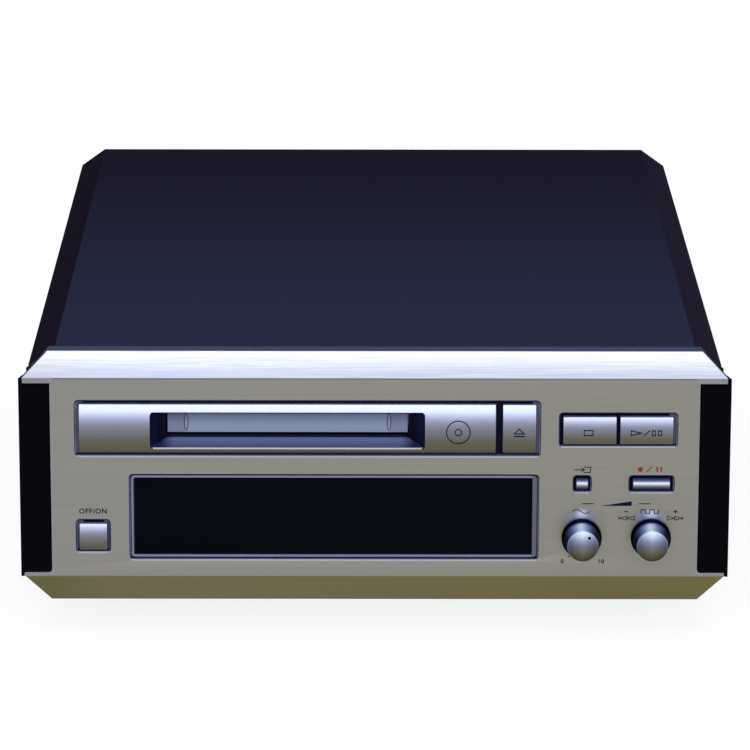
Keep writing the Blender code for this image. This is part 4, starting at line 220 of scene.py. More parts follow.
def make_piece(name, bm, finish, sharp=30):
    """Turn a closed bmesh into a piece with smooth faces and sharp edges."""
    bmesh.ops.remove_doubles(bm, verts=bm.verts, dist=0.002 * MM)
    bmesh.ops.recalc_face_normals(bm, faces=bm.faces)
    mesh = bpy.data.meshes.new(name)
    bm.to_mesh(mesh)
    bm.free()
    mesh.shade_smooth()
    mesh.set_sharp_from_angle(angle=math.radians(sharp))
    mesh.materials.append(finish)
    return new_object(name, mesh)


def turned(name, profile, foot, direction, finish, steps=64):
    """Spin a profile of (radius, distance) pairs about an axis that starts at foot."""
    bm = bmesh.new()
    verts = [bm.verts.new((radius, 0, distance)) for radius, distance in profile]
    edges = [bm.edges.new(pair) for pair in zip(verts, verts[1:] + verts[:1])]
    bmesh.ops.spin(bm, geom=verts + edges, cent=(0, 0, 0), axis=(0, 0, 1), angle=math.tau, steps=steps,
                   use_merge=True)
    bmesh.ops.remove_doubles(bm, verts=bm.verts, dist=0.005 * MM)
    loose = [edge for edge in bm.edges if not edge.link_faces]
    bmesh.ops.delete(bm, geom=loose, context="EDGES")
    turn = Vector((0, 0, 1)).rotation_difference(Vector(direction)).to_matrix().to_4x4()
    bmesh.ops.transform(bm, matrix=Matrix.Translation(foot) @ turn, verts=bm.verts)
    return make_piece(name, bm, finish)


def fasten(piece, body, slot, *replaced):
    """Hang a piece on its body and let it stand for CAD nodes; the slot name of its finish is not used."""
    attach(piece, body)
    if replaced:
        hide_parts(*replaced)
    return piece


def moulded(name, colour, roughness, cell, depth, specular=0.5):
    """Moulded or rubbery surface: one colour with a slow change of tone and a fine texture."""
    finish, tree, shader, place = new_finish(name, roughness, specular=specular)
    grain = grain_of(tree, place, cell)
    darker = [level * 0.82 for level in colour]
    tree.links.new(mixed(tree, grain["Tone"], shade(*darker), shade(*colour)), shader["Base Color"])
    tree.links.new(between(tree, grain["Tone"], roughness - 0.06, roughness + 0.06), shader["Roughness"])
    relief(tree, shader, grain["Height"], depth)
    return finish


def foot_profile():
    """Half section of a foot, from the bottom of its screw well round to its flat top."""
    profile = [(0, SCREW_WELL_DEPTH), (SCREW_WELL_RADIUS, SCREW_WELL_DEPTH)]
    profile += arc((SCREW_WELL_RADIUS + FOOT_ROUND, FOOT_ROUND), FOOT_ROUND, 180, 270)
    profile += arc((PAD_RADIUS - FOOT_ROUND, FOOT_ROUND), FOOT_ROUND, 270, 360)
    profile += [(PAD_RADIUS, PAD_HEIGHT)]
    profile += arc((FOOT_RADIUS - FOOT_ROUND, PAD_HEIGHT + FOOT_ROUND), FOOT_ROUND, 270, 360)
    profile += [(FOOT_RADIUS, FOOT_HEIGHT / 2), (FOOT_TOP_RADIUS, FOOT_HEIGHT), (0, FOOT_HEIGHT)]
    return profile


RUBBER_FINISH = moulded("black_rubber", RUBBER, 0.72, 0.5 * MM, 0.02 * MM, specular=0.3)
FOOT_NODES = ("foot_front_left", "foot_front_right", "foot_rear_left", "foot_rear_right")
foot_places = []
for node in FOOT_NODES:
    low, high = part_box(node)
    middle = (low + high) / 2
    foot_places.append(Vector((middle.x, middle.y, 0)))
    foot = turned("rubber_" + node, foot_profile(), (middle.x, middle.y, 0), (0, 0, 1), RUBBER_FINISH)
    fasten(foot, "deck", "rubber_foot", node)

# Circuit boards
# Green solder-masked fibreglass with printed tracks. The main board carries the chips and the plugs
# of the jacks, the narrow one the power supply, and the front one the key switches.
BOARD_GREEN = (24, 88, 52)
TRACK_GREEN = (44, 122, 74)
TRACK_PITCH = 2.4 * MM
RESISTOR = (190, 160, 110)
SMALL_CAN = (34, 40, 74)
CHIP_BLACK = (36, 36, 39)
BOARD_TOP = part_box("power_board")[1].z


def circuit_board(name, chips_from):
    """Solder mask over tracks that run square to each other, with black parts above a level."""
    finish, tree, shader, place = new_finish(name, 0.35, coat=0.3)
    grain = grain_of(tree, place, 0.3 * MM)
    tracks = add(tree, "ShaderNodeTexBrick", {"Vector": place["Object"], "Scale": 1.0, "Mortar Size": 0.25 * MM,
                                              "Mortar Smooth": 0.1, "Brick Width": 6 * TRACK_PITCH,
                                              "Row Height": TRACK_PITCH, "Color1": shade(*BOARD_GREEN),
                                              "Color2": shade(*BOARD_GREEN), "Mortar": shade(*TRACK_GREEN)})
    level = add(tree, "ShaderNodeSeparateXYZ", {0: place["Object"]}).outputs["Z"]
    raised = figured(tree, "GREATER_THAN", level, chips_from)
    masked = mixed(tree, between(tree, grain["Tone"], 0.0, 0.3), tracks.outputs["Color"], shade(*TRACK_GREEN))
    tree.links.new(mixed(tree, raised, masked, shade(*CHIP_BLACK)), shader["Base Color"])
    relief(tree, shader, tracks.outputs["Fac"], 0.03 * MM)
    return finish


def settle(piece):
    """Turn a piece and its modifiers into one plain mesh."""
    bpy.context.view_layer.update()
    shown = piece.evaluated_get(bpy.context.evaluated_depsgraph_get())
    mesh = bpy.data.meshes.new_from_object(shown)
    piece.modifiers.clear()
    piece.data = mesh
    mesh.name = piece.name
    return piece


def grown(name, tree, places, values, finish, sharp=30):
    """Run a geometry tree on places, each a point and an axis, and keep its result as a plain mesh."""
    mesh = bpy.data.meshes.new(name)
    mesh.from_pydata([point for point, axis in places], [], [])
    axes = mesh.attributes.new("axis", "FLOAT_VECTOR", "POINT")
    for entry, (point, axis) in zip(axes.data, places):
        entry.vector = axis
    piece = new_object(name, mesh)
    modifier = piece.modifiers.new("grown", "NODES")
    modifier.node_group = tree
    values = {**values, "Material": finish}
    for socket in tree.interface.items_tree:
        if socket.in_out == "INPUT" and socket.name in values:
            modifier[socket.identifier] = values[socket.name]
    settle(piece)
    piece.data.shade_smooth()
    piece.data.set_sharp_from_angle(angle=math.radians(sharp))
    return piece


def along_axis(tree, seed):
    """Rotation that stands an instance up along its point's axis, with a random turn about it."""
    axis = add(tree, "GeometryNodeInputNamedAttribute", {"Name": "axis"}, data_type="FLOAT_VECTOR")
    upright = add(tree, "FunctionNodeAlignRotationToVector", {"Vector": axis.outputs[0]}, axis="Z")
    spin = add(tree, "FunctionNodeRandomValue", {2: 0.0, 3: math.tau, "Seed": seed}, data_type="FLOAT")
    turn = add(tree, "FunctionNodeAxisAngleToRotation", {"Axis": (0, 0, 1), "Angle": spin.outputs[1]})
    return add(tree, "FunctionNodeRotateRotation", {"Rotation": upright.outputs[0],
                                                    "Rotate By": turn.outputs[0]},
               rotation_space="LOCAL").outputs[0]


def finish_tree(tree, given, result, points, instance, seed):
    """Set an instance on every point, make it real and give it its material."""
    stood = add(tree, "GeometryNodeInstanceOnPoints", {"Points": points, "Instance": instance,
                                                       "Rotation": along_axis(tree, seed)})
    real = add(tree, "GeometryNodeRealizeInstances", {"Geometry": stood.outputs[0]})
    painted = add(tree, "GeometryNodeSetMaterial", {"Geometry": real.outputs[0],
                                                    "Material": given["Material"]})
    tree.links.new(painted.outputs[0], result["Geometry"])
    return tree


def strewn_parts():
    """Geometry tree: small round components stood on their places, with drawn-in ends."""
    tree, given, result = new_group("strewn_parts", "GeometryNodeTree",
                                    (("Places", "Geometry"), ("Radius", "Float"), ("Length", "Float"),
                                     ("Waist", "Float"), ("Seed", "Int"), ("Material", "Material")),
                                    (("Geometry", "Geometry"),))
    path = add(tree, "GeometryNodeCurvePrimitiveLine", {"End": (0, 0, 1)})
    fine = add(tree, "GeometryNodeResampleCurve", {"Curve": path.outputs[0], "Count": 9})
    along = add(tree, "GeometryNodeSplineParameter").outputs[0]
    stretched = add(tree, "ShaderNodeCombineXYZ", {"Z": product(tree, along, given["Length"])})
    placed = add(tree, "GeometryNodeSetPosition", {"Geometry": fine.outputs[0],
                                                   "Position": stretched.outputs[0]})
    wave = figured(tree, "COSINE", product(tree, along, math.tau))
    wide = figured(tree, "ADD", given["Radius"], product(tree, wave, given["Waist"]))
    ring = add(tree, "GeometryNodeCurvePrimitiveCircle", {"Resolution": 14, "Radius": 1.0})
    body = add(tree, "GeometryNodeCurveToMesh", {"Curve": placed.outputs[0], "Profile Curve": ring.outputs[0],
                                                 "Scale": wide, "Fill Caps": True})
    return finish_tree(tree, given, result, given["Places"], body.outputs[0], given["Seed"])


def board_rows(node, rows, pitch, lift, axis):
    """Places in rows across a board, each row given by its share of the depth and its two ends."""
    low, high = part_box(node)
    places = []
    for depth_share, start_share, end_share in rows:
        start = low.x + (high.x - low.x) * start_share
        end = low.x + (high.x - low.x) * end_share
        for count in range(int((end - start) / pitch) + 1):
            y = low.y + (high.y - low.y) * depth_share
            places.append(((start + count * pitch, y, lift), axis))
    return places


dress(circuit_board("circuit_board", BOARD_TOP + 0.25 * MM), "main_board", "power_board")
dress(circuit_board("front_circuit_board", cad_box[1].z), "front_board")
PARTS_TREE = strewn_parts()
main_rows = ((0.19, 0.06, 0.94), (0.42, 0.5, 0.9), (0.8, 0.08, 0.9))
resistors = grown("resistors", PARTS_TREE, board_rows("main_board", main_rows, 6.2 * MM, BOARD_TOP + 1.0 * MM,
                                                      (0, 1, 0)),
                  {"Radius": 0.95 * MM, "Length": 5.0 * MM, "Waist": 0.14 * MM, "Seed": 3},
                  moulded("resistor_enamel", RESISTOR, 0.45, 0.4 * MM, 0.01 * MM))
fasten(resistors, "deck", "circuit_board")
can_rows = ((0.25, 0.06, 0.2), (0.72, 0.1, 0.6))
cans = grown("small_capacitors", PARTS_TREE, board_rows("main_board", can_rows, 8.3 * MM,
                                                        BOARD_TOP + 0.05 * MM, (0, 0, 1)),
             {"Radius": 2.6 * MM, "Length": 8.0 * MM, "Waist": -0.08 * MM, "Seed": 5},
             moulded("small_can_sleeve", SMALL_CAN, 0.35, 0.5 * MM, 0.005 * MM))
fasten(cans, "deck", "capacitor_sleeve")

# Power supply
# A laminated transformer under its strap, two smoothing capacitors in shrunk sleeves, and a finned
# aluminium heat sink. The transformer is screwed to the tray and the others stand on their board.
LAMINATION = 0.7 * MM
IRON_LIGHT = (104, 96, 88)
IRON_DARK = (62, 56, 52)
SLEEVE = (28, 36, 78)
SLEEVE_STRIPE = (188, 190, 200)
SINK_GREY = (158, 160, 164)
SINK_DARK = (120, 122, 128)


def laminated_iron():
    """Stacked core plates, varnished and faintly rusty, with the coil's tape in the middle."""
    finish, tree, shader, place = new_finish("laminated_iron", 0.5, metallic=0.4)
    grain = grain_of(tree, place, 0.8 * MM)
    plates = add(tree, "ShaderNodeTexWave", {"Vector": place["Object"], "Scale": 0.05 / LAMINATION,
                                             "Distortion": 0.3}, wave_type="BANDS", bands_direction="Y")
    striped = mixed(tree, plates.outputs["Fac"], shade(*IRON_DARK), shade(*IRON_LIGHT))
    tree.links.new(mixed(tree, between(tree, grain["Tone"], 0.0, 0.5), striped, shade(*IRON_DARK)),
                   shader["Base Color"])
    relief(tree, shader, plates.outputs["Fac"], 0.1 * MM)
    return finish


def shrunk_sleeve():
    """Blue plastic sleeve with a pale stripe down its left side and a bare top."""
    finish, tree, shader, place = new_finish("shrunk_sleeve", 0.3)
    grain = grain_of(tree, place, 0.7 * MM)
    side = add(tree, "ShaderNodeSeparateXYZ", {0: place["Normal"]}).outputs
    stripe = figured(tree, "LESS_THAN", side["Y"], -0.96)
    top = figured(tree, "GREATER_THAN", side["Z"], 0.5)
    sleeve = mixed(tree, between(tree, grain["Tone"], 0.0, 0.25), shade(*SLEEVE), shade(*RUBBER))
    striped = mixed(tree, stripe, sleeve, shade(*SLEEVE_STRIPE))
    tree.links.new(mixed(tree, top, striped, shade(*SINK_GREY)), shader["Base Color"])
    tree.links.new(between(tree, top, 0.0, 0.9), shader["Metallic"])
    relief(tree, shader, grain["Height"], 0.01 * MM)
    return finish


dress(laminated_iron(), "power_transformer")
dress(shrunk_sleeve(), "smoothing_capacitor_left", "smoothing_capacitor_right")
dress(sheet_metal("sink_extrusion", SINK_GREY, SINK_DARK, 0.42, 0.9 * MM), "heat_sink")

# Rear panel with its sockets
# A black painted steel plate with four phono jacks, two optical sockets and a two-pin mains inlet.
# The blocks stand on the main board and the plate closes round them.
BLACK_PAINT = (36, 36, 40)
SOCKET_BLACK = (30, 30, 33)
NICKEL_LIGHT = (205, 203, 196)
NICKEL_DARK = (160, 157, 150)
JACK_PITCH = 14.0 * MM
JACK_MARGIN = 6.5 * MM
SLEEVE_RADIUS = 4.15 * MM
SLEEVE_WALL = 0.45 * MM
COLLAR_RADIUS = 5.9 * MM
COLLAR_HEIGHT = 1.0 * MM
JACK_WHITE = (226, 224, 214)
JACK_RED = (168, 36, 34)
PIN_PITCH = 8.6 * MM
PIN_RADIUS = 1.28 * MM
PIN_LENGTH = 9.6 * MM
PIN_SUNK = 12.0 * MM


def ring_stack():
    """Geometry tree: a ring of rectangular section, rounded a little, on every place."""
    tree, given, result = new_group("ring_stack", "GeometryNodeTree",
                                    (("Places", "Geometry"), ("Radius", "Float"), ("Wall", "Float"),
                                     ("Height", "Float"), ("Seed", "Int"), ("Material", "Material")),
                                    (("Geometry", "Geometry"),))
    middle = figured(tree, "SUBTRACT", given["Radius"], product(tree, given["Wall"], 0.5))
    ring = add(tree, "GeometryNodeCurvePrimitiveCircle", {"Resolution": 48, "Radius": middle})
    section = add(tree, "GeometryNodeCurvePrimitiveQuadrilateral", {"Width": given["Wall"],
                                                                    "Height": given["Height"]})
    eased = add(tree, "GeometryNodeFilletCurve", {"Curve": section.outputs[0], "Count": 3,
                                                  "Radius": product(tree, given["Wall"], 0.3)}, mode="POLY")
    body = add(tree, "GeometryNodeCurveToMesh", {"Curve": ring.outputs[0], "Profile Curve": eased.outputs[0]})
    rise = add(tree, "ShaderNodeCombineXYZ", {"Z": product(tree, given["Height"], 0.5)})
    lifted = add(tree, "GeometryNodeTransform", {"Geometry": body.outputs[0], "Translation": rise.outputs[0]})
    return finish_tree(tree, given, result, given["Places"], lifted.outputs[0], given["Seed"])


BLACK_STEEL_PAINT = moulded("black_rear_paint", BLACK_PAINT, 0.5, 0.35 * MM, 0.012 * MM, specular=0.3)
SOCKET_PLASTIC = moulded("socket_plastic", SOCKET_BLACK, 0.48, 0.5 * MM, 0.008 * MM, specular=0.35)
NICKEL = sheet_metal("nickel_plate", NICKEL_LIGHT, NICKEL_DARK, 0.24, 0.8 * MM)
dress(BLACK_STEEL_PAINT, "rear_panel")
dress(SOCKET_PLASTIC, "rca_jacks", "optical_jacks", "ac_inlet")
RING_TREE = ring_stack()
jacks_low, jacks_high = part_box("rca_jacks")
REAR_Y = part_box("rear_panel")[1].y
jack_x = (jacks_low.x + jacks_high.x) / 2
jack_z = jacks_high.z - JACK_MARGIN - JACK_PITCH / 2
backward = (0, 1, 0)
columns = {name: jack_z + rise * JACK_PITCH / 2 for name, rise in (("white", 1), ("red", -1))}
for name, colour in (("white", JACK_WHITE), ("red", JACK_RED)):
    spots = [((jack_x + side * JACK_PITCH / 2, REAR_Y - 0.02 * MM, columns[name]), backward) for side in (-1, 1)]
    collars = grown("jack_collars_" + name, RING_TREE, spots,
                    {"Radius": COLLAR_RADIUS, "Wall": COLLAR_RADIUS - SLEEVE_RADIUS, "Height": COLLAR_HEIGHT,
                     "Seed": 1}, moulded("jack_" + name, colour, 0.4, 0.5 * MM, 0.004 * MM))
    fasten(collars, "deck", "black_plastic")
spots = [((jack_x + side * JACK_PITCH / 2, REAR_Y + COLLAR_HEIGHT, z), backward)
         for side in (-1, 1) for z in columns.values()]
sleeves = grown("jack_sleeves", RING_TREE, spots,
                {"Radius": SLEEVE_RADIUS + 0.1 * MM, "Wall": SLEEVE_WALL,
                 "Height": jacks_high.y - REAR_Y - COLLAR_HEIGHT + 0.02 * MM, "Seed": 2}, NICKEL)
fasten(sleeves, "deck", "plated_steel")
inlet_low, inlet_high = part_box("ac_inlet")
inlet = (inlet_low + inlet_high) / 2
for side, name in ((-1, "left"), (1, "right")):
    tip = [(0, 0), (PIN_RADIUS, 0)] + arc((PIN_RADIUS - 0.5 * MM, PIN_LENGTH - 0.5 * MM), 0.5 * MM, 0, 90)
    pin = turned("inlet_pin_" + name, tip + [(0, PIN_LENGTH)],
                 (inlet.x + side * PIN_PITCH / 2, inlet_high.y - PIN_SUNK, inlet.z), backward, NICKEL, steps=24)
    fasten(pin, "deck", "plated_steel")

# Disc mechanism
# A folded steel frame on a bridge holds the cartridge holder, the cam slide that lowers it, the spindle
# and the pickup on its rods. Sheet parts are zinc plated, the slide and the gears are nylon.
HOLDER_LIGHT = (190, 193, 197)
HOLDER_DARK = (158, 162, 168)
NYLON = (226, 222, 208)
MOTOR_LIGHT = (170, 171, 172)
MOTOR_DARK = (128, 129, 132)
ROD_LIGHT = (214, 215, 218)
ROD_DARK = (184, 186, 190)
PICKUP_BLACK = (38, 38, 42)
LENS_RADIUS = 1.9 * MM
LENS_RISE = 0.5 * MM
LENS_SUNK = 0.2 * MM
LENS_BLUE = (22, 30, 62)
LENS_VIOLET = (60, 50, 110)
LENS_BEHIND_FACE = 69.8 * MM
LENS_OVER_RODS = 5.7 * MM

dress(ZINC, "mech_bracket", "mech_frame")
dress(sheet_metal("holder_plate", HOLDER_LIGHT, HOLDER_DARK, 0.32, 0.5 * MM), "cartridge_holder", "head_arm")
dress(moulded("white_nylon", NYLON, 0.42, 0.6 * MM, 0.006 * MM), "cam_slide", "loading_gear", "sled_pinion")
dress(sheet_metal("motor_shell", MOTOR_LIGHT, MOTOR_DARK, 0.28, 0.4 * MM),
      "loading_motor", "spindle_motor", "sled_motor", "analog_pot", "digital_encoder")
dress(sheet_metal("ground_rod", ROD_LIGHT, ROD_DARK, 0.16, 0.2 * MM),
      "guide_rod_left", "guide_rod_right", "analog_shaft", "encoder_shaft")
PICKUP = moulded("pickup_plastic", PICKUP_BLACK, 0.4, 0.4 * MM, 0.006 * MM)
dress(PICKUP, "pickup_sled", "turntable")
lens_glass, lens_tree, lens_shader, lens_place = new_finish("lens_glass", 0.03, coat=1.0)
lens_ring = add(lens_tree, "ShaderNodeTexNoise", {"Vector": lens_place["Object"], "Scale": 900.0})
lens_tree.links.new(mixed(lens_tree, lens_ring.outputs[0], shade(*LENS_BLUE), shade(*LENS_VIOLET)),
                    lens_shader["Base Color"])
rods_low, rods_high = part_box("guide_rod_left")[0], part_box("guide_rod_right")[1]
lens_foot = ((rods_low.x + rods_high.x) / 2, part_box("front_panel")[0].y + LENS_BEHIND_FACE,
             rods_low.z + LENS_OVER_RODS)
lens = turned("pickup_lens", [(0, -LENS_SUNK), (LENS_RADIUS, -LENS_SUNK)]
              + [(LENS_RADIUS * math.cos(math.radians(a)), LENS_RISE * math.sin(math.radians(a)))
                 for a in range(0, 91, 15)], lens_foot, (0, 0, 1), lens_glass, steps=32)
fasten(lens, "sled", "tube_glass")

# Front sub-panel, display tube and controls behind the panel
# A black moulding backs the aluminium panel and carries the bezel, the keys and the switch board.
# The fluorescent display is a flat glass tube with its grid under the glass.
TUBE_DARK = (16, 22, 24)
TUBE_GRID = (46, 62, 62)
# Black tinted blue: its own colour plus painted blue shade for the gaps round the keys.
SUBPANEL_BLACK = (15, 15, 48)
SUBPANEL_WORN = (18, 18, 46)
# Painted light where the gaps at the ends of the windows and keys look lighter.
SUBPANEL_PAINTED_LIGHT = (128, 130, 156)
PAINTED_LIGHT_REACH = (1.3 * MM, 0.9 * MM)
PAINTED_LIGHT_INSET = 0.8 * MM
PAINTED_LIGHT_ENDS = (("loader_bezel", 0), ("eject_button", 1), ("play_button", 1), ("power_button", 0), ("power_button", 1),
            ("display_frame", 0), ("display_frame", 1))


def display_glass():
    """Dark glass over a fine grid."""
    finish, tree, shader, place = new_finish("display_glass", 0.08, coat=0.5)
    cells = add(tree, "ShaderNodeTexBrick", {"Vector": add(tree, "ShaderNodeMapping",
                                                           {"Vector": place["Object"],
                                                            "Rotation": (math.pi / 2, 0, 0)}).outputs[0],
                                             "Scale": 1.0, "Mortar Size": 0.06 * MM, "Brick Width": 1.6 * MM,
                                             "Row Height": 2.4 * MM, "Color1": shade(*TUBE_DARK),
                                             "Color2": shade(*TUBE_DARK), "Mortar": shade(*TUBE_GRID)},
                offset=0.0)
    tree.links.new(cells.outputs["Color"], shader["Base Color"])
    return finish


def smooth_step(tree, value, start, end):
    """0 before one value and 1 past another, with soft ends."""
    return add(tree, "ShaderNodeMapRange", {"Value": value, "From Min": start, "From Max": end},
               interpolation_type="SMOOTHSTEP").outputs[0]


def subpanel_plastic():
    """Black moulding behind the panel, tinted blue as painted shade, with painted light at the ends of the
    windows.
    """
    finish, tree, shader, place = new_finish("subpanel_plastic", 0.5, specular=0.05)
    grain = grain_of(tree, place, 0.5 * MM)
    here = add(tree, "ShaderNodeSeparateXYZ", {0: place["Object"]}).outputs
    # Painted light at the ends of the windows and keys.
    lit = 0.0
    for node, end in PAINTED_LIGHT_ENDS:
        low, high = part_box(node)
        beside = figured(tree, "ABSOLUTE", figured(tree, "SUBTRACT", here["X"], (low, high)[end].x))
        above = figured(tree, "ABSOLUTE", figured(tree, "SUBTRACT", here["Z"], (low.z + high.z) / 2))
        past = figured(tree, "SUBTRACT", above, (high.z - low.z) / 2 - PAINTED_LIGHT_INSET)
        lit = figured(tree, "MAXIMUM", lit,
                      smooth_step(tree, figured(tree, "MAXIMUM", beside, past), *PAINTED_LIGHT_REACH))
    worn_black = mixed(tree, grain["Tone"], shade(*SUBPANEL_BLACK), shade(*SUBPANEL_WORN))
    tree.links.new(mixed(tree, lit, worn_black, shade(*SUBPANEL_PAINTED_LIGHT)), shader["Base Color"])
    relief(tree, shader, grain["Height"], 0.008 * MM)
    return finish


dress(subpanel_plastic(), "front_subpanel")
dress(display_glass(), "display_tube")

# Front panel
# A C-shaped aluminium extrusion, its windows milled and its ends mitred, brushed along its length and
# clear anodised. The sloped edges above and below the flat face are part of the extrusion.
PANEL_EDGE = 0.12 * MM
# Tones with painted light by facing: bright top slope, olive lower slope, dark down-facing chamfers, light side
# walls.
PANEL_LIT_TONES = ((-1.0, (90, 84, 68)), (-0.8, (58, 60, 96)), (-0.62, (58, 60, 96)), (-0.42, (120, 113, 84)),
               (-0.2, (120, 113, 84)), (-0.08, (141, 140, 134)), (0.08, (141, 140, 134)),
               (0.2, (189, 193, 194)), (0.42, (189, 193, 194)), (0.62, (160, 166, 192)),
               (0.78, (140, 146, 178)), (0.88, (92, 98, 132)))
PANEL_LIT_SIDE_TONES = ((0.8, (84, 88, 128)), (0.95, (240, 241, 255)))
# Painted shade down the lower part of the top slope.
SLOPE_SHADE = (208, 211, 234)
SLOPE_STREAK = (238, 239, 247)
CREST_TONE = (66, 72, 106)
SLOPE_LEFT_TONE = (255, 252, 240)
CHEEK_SIDE_SHADE = (142, 140, 145)
RIGHT_WARMTH = (255, 254, 246)
LOW_LEFT_TONE = (226, 236, 214)
LOW_RIGHT_TONE = (255, 250, 226)
LINE_SHADE = (172, 172, 190)
BAND_SHADE = (200, 202, 216)
LEFT_TINT_REACH = 30.0 * MM
CHEEK_SHADE_REACH = (97.6 * MM, 99.4 * MM)
# Painted reflection of each knob's lit top on the panel above it, and a brighter painted crescent right over the
# knob.
KNOB_PAINTED_REFLECTION = (160, 162, 194)
KNOB_PAINTED_REFLECTION_RISE = 4.3 * MM
KNOB_PAINTED_REFLECTION_REACH = 6.2 * MM
KNOB_PAINTED_CRESCENT = (222, 228, 255)
KNOB_PAINTED_CRESCENT_RISE = 6.9 * MM
KNOB_PAINTED_CRESCENT_REACH = 2.7 * MM


def face_tilt():
    """How far a face looks up, from 0 for down to 1 for up, how far it looks sideways, and that softened."""
    group, given, result = new_group("face_tilt", "ShaderNodeTree", (("Normal", "Vector"),),
                                     (("Rise", "Float"), ("Turn", "Float"), ("Side", "Float")))
    parts = add(group, "ShaderNodeSeparateXYZ", {0: given["Normal"]}).outputs
    turn = figured(group, "ABSOLUTE", parts["X"])
    group.links.new(figured(group, "MULTIPLY_ADD", parts["Z"], 0.5, 0.5), result["Rise"])
    group.links.new(turn, result["Turn"])
    group.links.new(smooth_step(group, turn, 0.2, 0.5), result["Side"])
    return group


TILT = face_tilt()


def tilt_of(tree):
    """The way a face looks in the room, so that the light stays above a piece that turns."""
    normal = add(tree, "ShaderNodeNewGeometry").outputs["Normal"]
    return add(tree, "ShaderNodeGroup", {"Normal": normal}, node_tree=TILT).outputs


def level_band():
    """How far a place lies between two levels along an axis, from 0 to 1, with soft ends."""
    group, given, result = new_group("level_band", "ShaderNodeTree",
                                     (("Vector", "Vector"), ("Axis", "Vector"), ("From", "Float"),
                                      ("To", "Float")), (("Share", "Float"),))
    along = add(group, "ShaderNodeVectorMath", {0: given["Vector"], 1: given["Axis"]}, operation="DOT_PRODUCT")
    share = smooth_step(group, along.outputs["Value"], given["From"], given["To"])
    group.links.new(share, result["Share"])
    return group


BAND = level_band()


def share_along(tree, place, axis, start, end):
    """How far a place lies between two levels along an axis, from 0 to 1."""
    return add(tree, "ShaderNodeGroup", {"Vector": place, "Axis": axis, "From": start, "To": end},
               node_tree=BAND).outputs[0]


def ramp(tree, factor, stops):
    """Colour ramp through stops, each a place from 0 to 1 and a screen colour."""
    node = add(tree, "ShaderNodeValToRGB", {"Fac": factor})
    points = node.color_ramp.elements
    points.remove(points[-1])
    points[0].position = stops[0][0]
    points[0].color = shade(*stops[0][1])
    for place, colour in stops[1:]:
        points.new(place).color = shade(*colour)
    return node.outputs["Color"]


def lit_tones_by_facing(tree, tones, sides):
    """Colour with painted light by the way a face looks: tones from down, at -1, to up, at 1, and for its turn
    aside.
    """
    tilt = tilt_of(tree)
    stops = [((level + 1) / 2, colour) for level, colour in tones]
    return mixed(tree, tilt["Side"], ramp(tree, tilt["Rise"], stops), ramp(tree, tilt["Turn"], sides))


PANEL_LOW, PANEL_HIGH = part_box("front_panel")
FACE_Y = PANEL_LOW.y
SLOPE_HEIGHT = 8.2 * MM
FACE_BOTTOM = PANEL_LOW.z + SLOPE_HEIGHT


def from_middle(tree, place, x):
    """Places measured to both sides of a middle."""
    centred = add(tree, "ShaderNodeVectorMath", {0: place, 1: (x, 0, 0)}, operation="SUBTRACT").outputs[0]
    return add(tree, "ShaderNodeVectorMath", {0: centred}, operation="ABSOLUTE").outputs[0]


